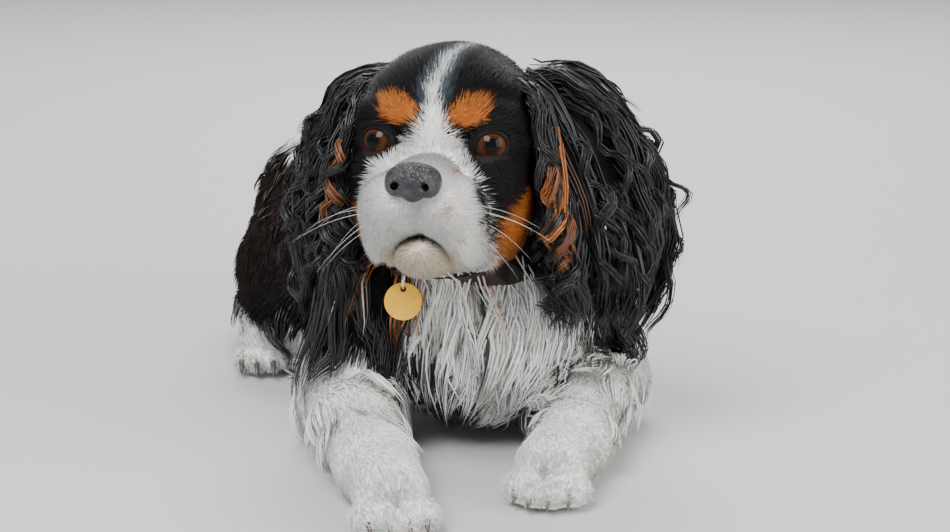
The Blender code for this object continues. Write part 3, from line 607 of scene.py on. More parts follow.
class Markings:
    """The coat's colours by place: a black coat with white and tan and a painted sheen on the skull, in shapes
    given by functions.
    """

    def __init__(self, body: Body, palette: Palette = Palette()) -> None:
        """Keeps the body and the colours.

        Args:
            body: the animal, whose zones tell the head from the rest.
            palette: the colours.
        """
        self.body = body
        self.palette = palette

    def colours(self, points: Points) -> Points:
        """The coat's colour at each point, as rows of red, green and blue."""
        head = ramp(self.body.shares(points)[:, Zone.HEAD.value : Zone.HEAD.value + 1], 0.45, 0.75)
        return head * self._head(points) + (1 - head) * self._body(points)

    def _mix(self, base: Points, colour: Colour, mask: Points) -> Points:
        """The base where the mask is 0 and the colour where it is 1."""
        return base + (np.array(colour) - base) * mask[:, None]

    def _head(self, points: Points) -> Points:
        """Black with a blaze and white muzzle, tan brows and cheeks, a cream chin, and a painted bluish-grey
        sheen on the skull top beside the blaze.
        """
        x, y, z = (HEAD_PLACE.into(points) / CM).T
        edge = 0.16 * ripple(points, 0.011) + 0.07 * ripple(points, 0.004, 2.0)
        colour = np.tile(self.palette.black, (len(points), 1))
        side = np.abs(x)
        brow = ((side - 1.72) / 1.12) ** 2 + ((z - 1.55 - 0.30 * (side - 1.72)) / 0.66) ** 2
        colour = self._mix(colour, self.palette.tan, ramp(brow + edge, 1.05, 0.75) * (y < 3.0))
        cheek = ((y - 1.2) / 2.3) ** 2 + ((z + 4.7) / 2.6) ** 2
        cheek_mask = ramp(cheek + edge, 1.15, 0.85) * ramp(side, 2.2, 2.7)
        back = ((y - 4.6) / 0.85) ** 2 + ((z + 3.4) / 2.5) ** 2
        cheek_mask = np.maximum(cheek_mask, ramp(back + edge, 1.15, 0.8) * ramp(side, 2.2, 2.7))
        colour = self._mix(colour, self.palette.tan, cheek_mask * ramp(z, -6.9, -6.3))
        heights = (-8, -5, -3, -2, -1, -0.3, 0.3, 0.8, 1.5, 2.2, 3.2, 4.4, 5.6)
        right_rim = np.interp(
            z, heights, (3.5, 3.5, 3.4, 3.1, 2.6, 1.75, 0.82, 0.52, 0.30, 0.20, 0.15, 0.12, 0.02)
        )
        left_rim = np.interp(
            z, heights, (3.3, 3.1, 2.85, 2.4, 1.85, 1.25, 0.85, 0.58, 0.34, 0.24, 0.17, 0.14, 0.02)
        )
        rim = np.where(x < 0, right_rim, left_rim)
        middle = 0.30 * np.maximum(z - 2.6, 0) ** 1.25 * (y < 6)
        white = ramp(np.abs(x - middle) - rim + edge * 0.8, 0.18, -0.12)
        white *= (
            ramp(y + 0.22 * np.maximum(-z - 2.0, 0), 1.3, 0.5) * (z < 1.2) + ramp(y, 6.2, 5.0) * (z >= 1.2)
        )
        # Painted sheen: bluish-grey reflected light on the black hair of the skull top, beside the blaze.
        skull_sheen = ramp(np.abs(x - middle) - rim - 0.5, 0.25, -0.25) * ramp(z, 1.4, 2.6) * ramp(y, 6.2, 5.0)
        colour = self._mix(colour, self.palette.sheen_grey, 0.55 * skull_sheen)
        colour = self._mix(colour, self.palette.white, white)
        spots = np.zeros(len(points))
        for spot_x, spot_z, size in (
            (1.45, -1.45, 0.17), (1.62, -3.0, 0.20), (2.15, -4.4, 0.12), (-1.2, -4.0, 0.10)
        ):
            gap = np.hypot(x - spot_x, z - spot_z) + 0.04 * ripple(points, 0.003)
            spots = np.maximum(spots, ramp(gap, size + 0.06, size - 0.06))
        colour = self._mix(colour, self.palette.tan, 0.7 * spots * (y < -0.5))
        chin = ramp(z + edge, -4.7, -5.2) * ramp(y, -0.2, -1.2) * ramp(side, 2.3, 1.7)
        colour = self._mix(colour, self.palette.cream, chin)
        throat = ramp(z + 0.35 * np.maximum(x - 2.2, 0), -5.6, -6.2) * ramp(x, -2.6, -2.1)
        throat *= ramp(y, -1.2, -0.4) * ramp(y, 6.0, 4.5)
        return self._mix(colour, self.palette.white, throat)

    def _body(self, points: Points) -> Points:
        """Black over the trunk, with white bib, forelegs, feet, belly, tail's end and a patch on the back."""
        x, y, z = (points / CM).T
        edge = 0.65 * ripple(points, 0.045) + 0.3 * ripple(points, 0.017, 1.0)
        brown = ramp(y, 2.0, 12.0)
        colour = self._mix(np.tile(self.palette.black, (len(points), 1)), self.palette.brown_black, brown)
        bib = ramp(np.abs(x + 0.4 - 0.12 * (12 - z)) - 4.0 + 0.90 * np.maximum(9.5 - z, 0) + edge, 0.5, -0.5)
        bib *= ramp(y, -8.0, -10.5) * ramp(z, 15.5, 14.0)
        chest = ramp(np.abs(x - 0.6) - 1.9 + edge, 0.5, -0.5) * ramp(y, -7.0, -9.0) * ramp(z, 11.0, 9.0)
        throat_tan = ramp(np.abs(x + 4.8) - 0.4 + 0.3 * edge, 0.25, -0.25) * ramp(z, 10.6, 11.2)
        throat_tan *= ramp(y, -11.0, -13.0)
        legs = self.body.shares(points)[:, Zone.FORELEG.value]
        legs = ramp(legs + 0.08 * edge, 0.35, 0.65) * ramp(z + 0.35 * edge, 6.4, 5.2)
        feet = (
            self.body.shares(points)[:, Zone.HINDLEG.value] * ramp(z + 0.4 * edge, 3.9, 3.1)
            * ramp(y, 13.0, 11.0)
        )
        belly = ramp(z + 0.5 * edge, 2.8, 1.8) * ramp(np.abs(x), 7.0, 6.0)
        tip = self.body.shares(points)[:, Zone.TAIL.value] * ramp(x + edge, 6.5, 8.5)
        back = ((x + 4.4) / 2.8) ** 2 + ((y - 18.0) / 4.6) ** 2
        patch = ramp(back + 0.35 * edge, 1.1, 0.85) * ramp(z, 11.5, 12.5)
        white = np.max((bib, chest, legs, feet, belly, tip, patch), axis=0)
        colour = self._mix(colour, self.palette.white, white)
        return self._mix(colour, self.palette.tan, 0.85 * throat_tan)


# Meshes


def new_mesh(name: str, points: Points, rings: Sequence[Points]) -> bpy.types.Mesh:
    """A mesh from points and arrays of faces.

    Args:
        name: its name.
        points: rows of x, y, z.
        rings: arrays of faces, each of one number of corners, as rows of point numbers.

    Returns:
        The mesh, shaded smooth.
    """
    mesh = bpy.data.meshes.new(name)
    corners = np.concatenate([ring.ravel() for ring in rings])
    sizes = np.concatenate([np.full(len(ring), ring.shape[1]) for ring in rings])
    starts = np.concatenate(((0,), np.cumsum(sizes)[:-1]))
    mesh.vertices.add(len(points))
    mesh.loops.add(len(corners))
    mesh.polygons.add(len(sizes))
    mesh.vertices.foreach_set("co", points.astype(np.float32).ravel())
    mesh.loops.foreach_set("vertex_index", corners.astype(np.int32))
    mesh.polygons.foreach_set("loop_start", starts.astype(np.int32))
    mesh.polygons.foreach_set("loop_total", sizes.astype(np.int32))
    mesh.update(calc_edges=True)
    mesh.polygons.foreach_set("use_smooth", np.ones(len(sizes), bool))
    return mesh


def new_piece(name: str, mesh: bpy.types.Mesh, material: bpy.types.Material) -> bpy.types.Object:
    """An object at the origin with that mesh and material, which rides on the model."""
    obj = bpy.data.objects.new(name, mesh)
    bpy.context.scene.collection.objects.link(obj)
    mesh.materials.append(material)
    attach(obj, "root")
    return obj


def paint(mesh: bpy.types.Mesh, colours: Points, name: str = "tint") -> None:
    """Stores a colour for each point of the mesh."""
    layer = mesh.color_attributes.new(name, "FLOAT_COLOR", "POINT")
    filled = np.ones((len(mesh.vertices), 4), np.float32)
    filled[:, : colours.shape[1]] = colours
    layer.data.foreach_set("color", filled.ravel())


def add_bake_map(mesh: bpy.types.Mesh, places: Points) -> None:
    """Stores each point's place on the bake map."""
    corners = np.empty(len(mesh.loops), np.int32)
    mesh.loops.foreach_get("vertex_index", corners)
    layer = mesh.uv_layers.new(name="OFBake")
    layer.data.foreach_set("uv", places[corners].astype(np.float32).ravel())


def surface_net(
    distance: Callable[[Points], Points], axes: Sequence[Points], reach: float
) -> tuple[Points, Points]:
    """The surface where a distance is nought, as one point in each cell that it crosses.

    Each cell's point is the mean of where its edges cross the surface, and each crossed edge gives a face
    between its four cells. Only places within reach of the surface, judged on every fourth place, are worked out.

    Args:
        distance: the distance of an array of points.
        axes: the grid's places along each axis.
        reach: how near the surface a place has to be.

    Returns:
        The points, and the faces as rows of four point numbers.
    """
    counts = [len(axis) for axis in axes]
    coarse = [axis[::4] for axis in axes]
    grid = np.stack(np.meshgrid(*coarse, indexing="ij"), axis=-1)
    rough = distance(grid.reshape(-1, 3)).reshape(grid.shape[:3])
    pick = [np.clip((np.arange(count) + 2) // 4, 0, len(some) - 1) for count, some in zip(counts, coarse)]
    values = rough[np.ix_(*pick)]
    near = np.argwhere(np.abs(values) < reach)
    spots = np.stack([axes[axis][near[:, axis]] for axis in range(3)], axis=1)
    values[tuple(near.T)] = distance(spots)
    for rim in (np.s_[[0, -1]], np.s_[:, [0, -1]], np.s_[:, :, [0, -1]]):
        values[rim] = np.maximum(values[rim], 1e-4)
    cells = [count - 1 for count in counts]
    size = int(np.prod(cells))
    total, hits = np.zeros((size, 3)), np.zeros(size)
    faces = []
    for axis in range(3):
        across = [other for other in range(3) if other != axis]
        low = np.take(values, range(counts[axis] - 1), axis)
        high = np.take(values, range(1, counts[axis]), axis)
        crossed = (low < 0) != (high < 0)
        index = np.argwhere(crossed)
        points = np.stack([axes[other][index[:, other]] for other in range(3)], axis=1)
        steps = np.diff(axes[axis])[index[:, axis]]
        points[:, axis] += steps * low[crossed] / (low[crossed] - high[crossed])
        corners = []
        for shift in ((0, 0), (-1, 0), (-1, -1), (0, -1)):
            cell = index.copy()
            cell[:, across] += shift
            flat = np.ravel_multi_index(tuple(cell.T), cells)
            for part in range(3):
                total[:, part] += np.bincount(flat, points[:, part], size)
            hits += np.bincount(flat, minlength=size)
            corners.append(flat)
        face = np.stack(corners, axis=1)
        outwards = (low[crossed] < 0) ^ (axis == 1)
        faces.append(np.where(outwards[:, None], face, face[:, ::-1]))
    used, joined = np.unique(np.concatenate(faces), return_inverse=True)
    return total[used] / hits[used][:, None], joined.reshape(-1, 4)


def fine_axis(low: float, high: float, dense: tuple[float, float], fine: float, coarse: float) -> Points:
    """Places from low to high, a fine step apart inside the dense stretch and a coarse step elsewhere."""
    return np.concatenate(
        (
            np.arange(low, dense[0], coarse),
            np.arange(dense[0], dense[1], fine),
            np.arange(dense[1], high + coarse, coarse),
        )
    )


# Finishes


class Nodes:
    """A material's node tree, with short ways to add and join nodes."""

    def __init__(self, tree: bpy.types.NodeTree) -> None:
        """Keeps the tree."""
        self.tree = tree

    def add(self, kind: str, **settings: object) -> bpy.types.Node:
        """A new node of that kind with the settings given."""
        node = self.tree.nodes.new(kind)
        for name, value in settings.items():
            setattr(node, name, value)
        return node

    def join(self, out: bpy.types.NodeSocket, into: bpy.types.NodeSocket) -> None:
        """Joins an output to an input."""
        self.tree.links.new(out, into)

    def noise(self, vector: bpy.types.NodeSocket, scale: float, detail: float = 3.0) -> bpy.types.Node:
        """A noise texture on a vector."""
        node = self.add("ShaderNodeTexNoise")
        node.inputs["Scale"].default_value = scale
        node.inputs["Detail"].default_value = detail
        self.join(vector, node.inputs["Vector"])
        return node

    def span(self, value: bpy.types.NodeSocket, low: float, high: float) -> bpy.types.NodeSocket:
        """A value from 0 to 1 spread from low to high."""
        node = self.add("ShaderNodeMapRange")
        node.inputs["To Min"].default_value = low
        node.inputs["To Max"].default_value = high
        self.join(value, node.inputs["Value"])
        return node.outputs["Result"]


def new_material(name: str) -> tuple[bpy.types.Material, Nodes, bpy.types.Node]:
    """A material of that name, its nodes and its Principled shader."""
    material = bpy.data.materials.new(name)
    material.use_nodes = True
    nodes = Nodes(material.node_tree)
    return material, nodes, material.node_tree.nodes["Principled BSDF"]


def hair_variation() -> bpy.types.NodeTree:
    """A group that varies a coat's colour in fine streaks, with a value for its roughness and bump."""
    group = bpy.data.node_groups.new("hair_variation", "ShaderNodeTree")
    group.interface.new_socket("Colour", in_out="INPUT", socket_type="NodeSocketColor")
    group.interface.new_socket("Streaks", in_out="INPUT", socket_type="NodeSocketFloat").default_value = 900.0
    group.interface.new_socket("Strength", in_out="INPUT", socket_type="NodeSocketFloat").default_value = 0.3
    group.interface.new_socket("Colour", in_out="OUTPUT", socket_type="NodeSocketColor")
    group.interface.new_socket("Height", in_out="OUTPUT", socket_type="NodeSocketFloat")
    nodes = Nodes(group)
    inside, outside = nodes.add("NodeGroupInput"), nodes.add("NodeGroupOutput")
    place = nodes.add("ShaderNodeTexCoord")
    fine = nodes.add("ShaderNodeTexNoise")
    fine.inputs["Detail"].default_value = 2.0
    nodes.join(place.outputs["Object"], fine.inputs["Vector"])
    nodes.join(inside.outputs["Streaks"], fine.inputs["Scale"])
    broad = nodes.noise(place.outputs["Object"], 55.0)
    both = nodes.add("ShaderNodeMath", operation="ADD")
    nodes.join(fine.outputs["Fac"], both.inputs[0])
    nodes.join(broad.outputs["Fac"], both.inputs[1])
    centred = nodes.add("ShaderNodeMath", operation="SUBTRACT")
    nodes.join(both.outputs["Value"], centred.inputs[0])
    centred.inputs[1].default_value = 1.0
    scaled = nodes.add("ShaderNodeMath", operation="MULTIPLY_ADD")
    nodes.join(centred.outputs["Value"], scaled.inputs[0])
    nodes.join(inside.outputs["Strength"], scaled.inputs[1])
    scaled.inputs[2].default_value = 1.0
    tinted = nodes.add("ShaderNodeVectorMath", operation="SCALE")
    nodes.join(inside.outputs["Colour"], tinted.inputs["Vector"])
    nodes.join(scaled.outputs["Value"], tinted.inputs["Scale"])
    nodes.join(tinted.outputs["Vector"], outside.inputs["Colour"])
    nodes.join(fine.outputs["Fac"], outside.inputs["Height"])
    return group


@dataclass(frozen=True)
class Fur:
    """The finish of hair: the stored colours, with painted shade at strand roots, varied in fine streaks, with a
    soft gloss.
    """

    name: str
    roughness: float = 0.52
    specular: float = 0.10
    streaks: float = 900.0
    strength: float = 0.5
    bump: float = 0.0
    sheen: float = 0.0

    def build(self, group: bpy.types.NodeTree) -> bpy.types.Material:
        """The material, with the colour variation group placed in it."""
        material, nodes, shader = new_material(self.name)
        tint = nodes.add("ShaderNodeAttribute", attribute_name="tint")
        vary = nodes.add("ShaderNodeGroup", node_tree=group)
        vary.inputs["Streaks"].default_value = self.streaks
        vary.inputs["Strength"].default_value = self.strength
        nodes.join(tint.outputs["Color"], vary.inputs["Colour"])
        nodes.join(vary.outputs["Colour"], shader.inputs["Base Color"])
        shader.inputs["Specular IOR Level"].default_value = self.specular
        shader.inputs["Sheen Weight"].default_value = self.sheen
        rough = nodes.span(vary.outputs["Height"], self.roughness - 0.08, self.roughness + 0.08)
        nodes.join(rough, shader.inputs["Roughness"])
        if self.bump:
            bump = nodes.add("ShaderNodeBump")
            bump.inputs["Strength"].default_value = self.bump
            bump.inputs["Distance"].default_value = 0.0006
            nodes.join(vary.outputs["Height"], bump.inputs["Height"])
            nodes.join(bump.outputs["Normal"], shader.inputs["Normal"])
        return material


# Hair


@dataclass(frozen=True)
class Style:
    """How a stretch of coat is built. Lengths are in metres.

    count strands in all are gathered by clump round their guides. Each has stations along it, rises by lift
    off the skin, waves from side to side by wave, waves times along it, and draws in by pinch to its guide.
    """

    count: int
    clump: int
    stations: int
    width: float
    lift: float
    wave: float = 0.0
    waves: float = 1.0
    pinch: float = 0.6
    gather: float = 0.003
    droop: float = 0.0
    flatness: float = 0.45
    # painted shade: how much a strand's colour is darkened at its root, as if shaded deep in the coat
    root_shade: float = 0.35
    swing: float = 0.16


@dataclass
class Strands:
    """Tapered strands with three-sided sections, as arrays of one row a strand.

    paths and outs are (strands, stations, 3), widths one number a strand, colours (strands, 3) and
    places (strands, 2) on the bake map.
    """

    paths: Points
    outs: Points
    widths: Points
    colours: Points
    places: Points
    style: Style

    def mesh(self, name: str) -> bpy.types.Mesh:
        """The strands as one mesh.

        A section's corners lie across the strand to both sides and once outwards. Its width is
        w(t) = width (0.55 + 1.8t - 2.35t^2), nought at the tip, with t the share of the way along.
        """
        count, stations, _ = self.paths.shape
        shares = np.linspace(0.0, 1.0, stations)
        along = unit(np.gradient(self.paths, axis=1))
        normal = unit(self.outs - along * dots(self.outs, along))
        across = np.cross(along, normal)
        profile = np.ones(2) if stations == 2 else 0.55 + 1.8 * shares - 2.35 * shares**2
        wide = 0.5 * self.widths[:, None, None] * profile[None, :, None]
        deep = self.style.flatness * 2 * wide
        corners = np.stack(
            (self.paths + across * wide, self.paths + normal * deep, self.paths - across * wide), axis=2
        )
        body = corners[:, :-1].reshape(count, -1, 3)
        points = np.concatenate((body, self.paths[:, -1:]), axis=1)
        points[:, :, 2] = np.maximum(points[:, :, 2], 0.0002)
        size = points.shape[1]
        quads, ends = self._faces(stations)
        starts = (np.arange(count) * size)[:, None, None]
        rings = [(quads[None] + starts).reshape(-1, 4), (ends[None] + starts).reshape(-1, 3)]
        mesh = new_mesh(name, points.reshape(-1, 3), rings)
        # Painted shade: each strand's colour darkens towards its root, as if shaded deep in the coat, and less so
        # on pale hair.
        depth = self.style.root_shade * (1 - 0.7 * self.colours.max(axis=1))
        shade = 1 - depth[:, None] * (1 - shares) ** 2
        tints = self.colours[:, None, :] * shade[:, :, None]
        tints = np.concatenate((np.repeat(tints[:, :-1], 3, axis=1), tints[:, -1:]), axis=1)
        paint(mesh, tints.reshape(-1, 3))
        add_bake_map(mesh, self._bake_places(count, stations).reshape(-1, 2))
        return mesh

    def kept(self, keep: Points) -> Strands:
        """Those strands that are marked to stay."""
        return Strands(
            self.paths[keep], self.outs[keep], self.widths[keep], self.colours[keep], self.places[keep],
            self.style
        )

    def _faces(self, stations: int) -> tuple[Points, Points]:
        """One strand's four-sided faces, and its three-sided ones at its tip and root."""
        ring = np.arange(3)
        after = (ring + 1) % 3
        levels = 3 * np.arange(stations - 2)[:, None]
        quads = np.stack((levels + ring, levels + 3 + ring, levels + 3 + after, levels + after), axis=-1)
        top = 3 * (stations - 2)
        ends = np.stack((top + ring, np.full(3, top + 3), top + after), axis=1)
        return quads.reshape(-1, 4), np.vstack((ends, ((0, 1, 2),)))

    def _bake_places(self, count: int, stations: int) -> Points:
        """Each point's place on the bake map: a patch about 0.003 across at its strand's root."""
        up = np.concatenate((np.repeat(np.linspace(0, 1, stations)[:-1], 3), (1.0,)))
        beside = np.concatenate((np.tile((0.0, 0.5, 1.0), stations - 1), (0.5,)))
        patch = 0.003 * np.stack((beside, up), axis=1)
        return self.places[:, None, :] * 0.994 + 0.0015 + patch[None]


@dataclass
class Scalp:
    """The skin as a place to grow hair: its triangles, with the area and the middle of each."""

    body: Body
    corners: Points
    areas: Points = field(init=False)
    middles: Points = field(init=False)

    def __post_init__(self) -> None:
        """Works out the areas and middles."""
        one, two, three = self.corners.transpose(1, 0, 2)
        self.areas = np.linalg.norm(np.cross(two - one, three - one), axis=1) / 2
        self.middles = self.corners.mean(axis=1)

    @classmethod
    def on(cls, body: Body, points: Points, faces: Points) -> Scalp:
        """The scalp of a skin made of four-sided faces."""
        split = np.concatenate((faces[:, (0, 1, 2)], faces[:, (0, 2, 3)]))
        return cls(body, points[split])

    def roots(self, count: int, density: Points, draw: np.random.Generator) -> Points:
        """Places spread over the triangles, as many on each as its area times its density allows."""
        weights = self.areas * np.maximum(density, 0)
        ends = np.cumsum(weights)
        picks = (np.arange(count) + draw.uniform(0, 1, count)) / count * ends[-1]
        index = np.minimum(np.searchsorted(ends, picks), len(ends) - 1)
        a, b = draw.uniform(0, 1, (2, count))
        flip = a + b > 1
        a, b = np.where(flip, 1 - a, a), np.where(flip, 1 - b, b)
        one, two, three = self.corners[index].transpose(1, 0, 2)
        return one + a[:, None] * (two - one) + b[:, None] * (three - one)


class Groomer:
    """Grows coat on the scalp and makes it pieces."""

    def __init__(self, scalp: Scalp, markings: Markings) -> None:
        """Keeps the scalp and the markings."""
        self.scalp, self.markings, self.body = scalp, markings, scalp.body

    def grow(
        self,
        style: Style,
        density: Points,
        length: Callable[[Points], Points],
        unwrap: Callable[[Points], Points],
        seed: int,
    ) -> Strands:
        """Grows strands where the density says.

        Each guide starts on the skin, marches along the lie of the coat, keeps the height
        h(t) = lift sin(pi t / 2) over the skin, and waves across its way by wave sin(2 pi waves t + phase) t.
        Its strands start round it and draw in towards it.

        Args:
            style: how they are built.
            density: how thickly they grow on each of the scalp's triangles.
            length: the length of a strand that starts at a point.
            unwrap: the place on the bake map of a point.
            seed: of the random draw.

        Returns:
            The strands.
        """
        draw = np.random.default_rng(seed)
        guides = max(style.count // style.clump, 1)
        roots = self.scalp.roots(guides, density, draw)
        out = self.body.flesh.slope(roots)
        reach = length(roots) * draw.uniform(0.8, 1.2, guides)
        grow = self._laid if style.stations <= 3 else self._marched
        paths, outs = grow(roots, out, reach, style, draw)
        strands = self._gathered(paths, outs, style, unwrap, draw)
        return strands.kept(~self.body.head.before_eye(strands.paths))

    def _laid(
        self, roots: Points, out: Points, reach: Points, style: Style, draw: np.random.Generator
    ) -> tuple[Points, Points]:
        """Short guides, straight along the lie, with the way out of the coat at each of their stations."""
        count = len(roots)
        shares = np.linspace(0.0, 1.0, style.stations)[None, :, None]
        lie = self.body.lie(roots, out)
        way = unit(lie + draw.normal(0, style.swing, (count, 1)) * np.cross(out, lie))
        rise = style.lift * draw.uniform(0.6, 1.4, (count, 1, 1))
        height = rise * np.sin(0.5 * math.pi * shares) - 0.0012 * (shares == 0)
        paths = roots[:, None] + way[:, None] * reach[:, None, None] * shares
        for station in range(1, style.stations):
            spots = paths[:, station]
            gap = self.body.flesh.parted(spots) + self.body.depth(spots)
            height[:, station, 0] -= np.clip(gap, -0.003, 0.0)
        paths += out[:, None] * height
        return paths, np.repeat(out[:, None], style.stations, axis=1)

    def _marched(
        self, roots: Points, out: Points, reach: Points, style: Style, draw: np.random.Generator
    ) -> tuple[Points, Points]:
        """Long guides' paths and the way out of the coat at each of their stations."""
        count, stations = len(roots), style.stations
        shares = np.linspace(0.0, 1.0, stations)
        swing = draw.normal(0, style.swing, count)[:, None]
        step = (reach / (stations - 1))[:, None]
        lift = style.lift * draw.uniform(0.7, 1.3, count)
        path, outs = [roots - 0.0012 * out], [out]
        here = roots
        for share in shares[1:]:
            lie = self.body.lie(here, out)
            way = unit(lie + swing * np.cross(out, lie))
            here = here + way * step
            here[:, 2] -= style.droop * step[:, 0] * share
            out = self.body.flesh.slope(here)
            gap = self.body.flesh.parted(here) + self.body.depth(here)
            height = lift * math.sin(0.5 * math.pi * share)
            here = here + out * np.maximum(height - gap, -0.002)[:, None]
            path.append(here)
            outs.append(out)
        paths, outs = np.stack(path, axis=1), np.stack(outs, axis=1)
        if style.wave:
            along = unit(np.gradient(paths, axis=1))
            across = np.cross(along, outs)
            phase = draw.uniform(0, 2 * math.pi, (count, 1))
            turns = 2 * math.pi * style.waves * draw.uniform(0.8, 1.25, (count, 1)) * shares + phase
            size = style.wave * draw.uniform(0.6, 1.3, (count, 1)) * np.minimum(2.5 * shares, 1)
            paths = paths + across * (size * np.sin(turns))[:, :, None]
            paths = paths + outs * (0.4 * size * np.cos(turns))[:, :, None]
        return paths, outs

    def _gathered(
        self, guides: Points, outs: Points, style: Style, unwrap: Callable[[Points], Points],
        draw: np.random.Generator
    ) -> Strands:
        """Strands round each guide, which start apart and draw in towards it."""
        count = len(guides) * style.clump
        index = np.repeat(np.arange(len(guides)), style.clump)
        paths, outs = guides[index], outs[index]
        shares = np.linspace(0.0, 1.0, style.stations)
        shift = draw.normal(0, style.gather, (count, 3))
        shift -= outs[:, 0] * dots(shift, outs[:, 0])
        if style.clump == 1:
            shift *= 0
        draw_in = 1 - style.pinch * shares**0.8
        paths = paths + shift[:, None, :] * draw_in[None, :, None]
        stretch = 1 + draw.normal(0, 0.07, (count, 1, 1))
        paths = paths[:, :1] + (paths - paths[:, :1]) * stretch
        widths = style.width * draw.uniform(0.7, 1.3, count)
        roots = paths[:, 0]
        colours = self.markings.colours(roots + draw.normal(0, 0.0009, roots.shape))
        vary = draw.normal(1.0, 0.10, (len(guides), 1))[index] * draw.normal(1.0, 0.08, (count, 1))
        colours = np.clip(colours * vary, 0.002, 0.92)
        return Strands(paths, outs, widths, colours, unwrap(roots), style)


def round_axis(
    axis: int, low: float, high: float, middle: tuple[float, float]
) -> Callable[[Points], Points]:
    """An unwrap round a line along an axis: the turn round it, and the share of the way along it.

    Args:
        axis: 0, 1 or 2 for a line along X, Y or Z.
        low: where the map starts along the axis.
        high: where it ends.
        middle: the line's place on the other two axes.

    Returns:
        A function from points to places between 0 and 1.
    """
    others = [other for other in range(3) if other != axis]

    def unwrap(points: Points) -> Points:
        one, two = (points[:, other] - centre for other, centre in zip(others, middle))
        turn = np.arctan2(two, one) / (2 * math.pi) + 0.5
        return np.clip(np.stack((turn, (points[:, axis] - low) / (high - low)), axis=1), 0, 1)

    return unwrap


# The ears


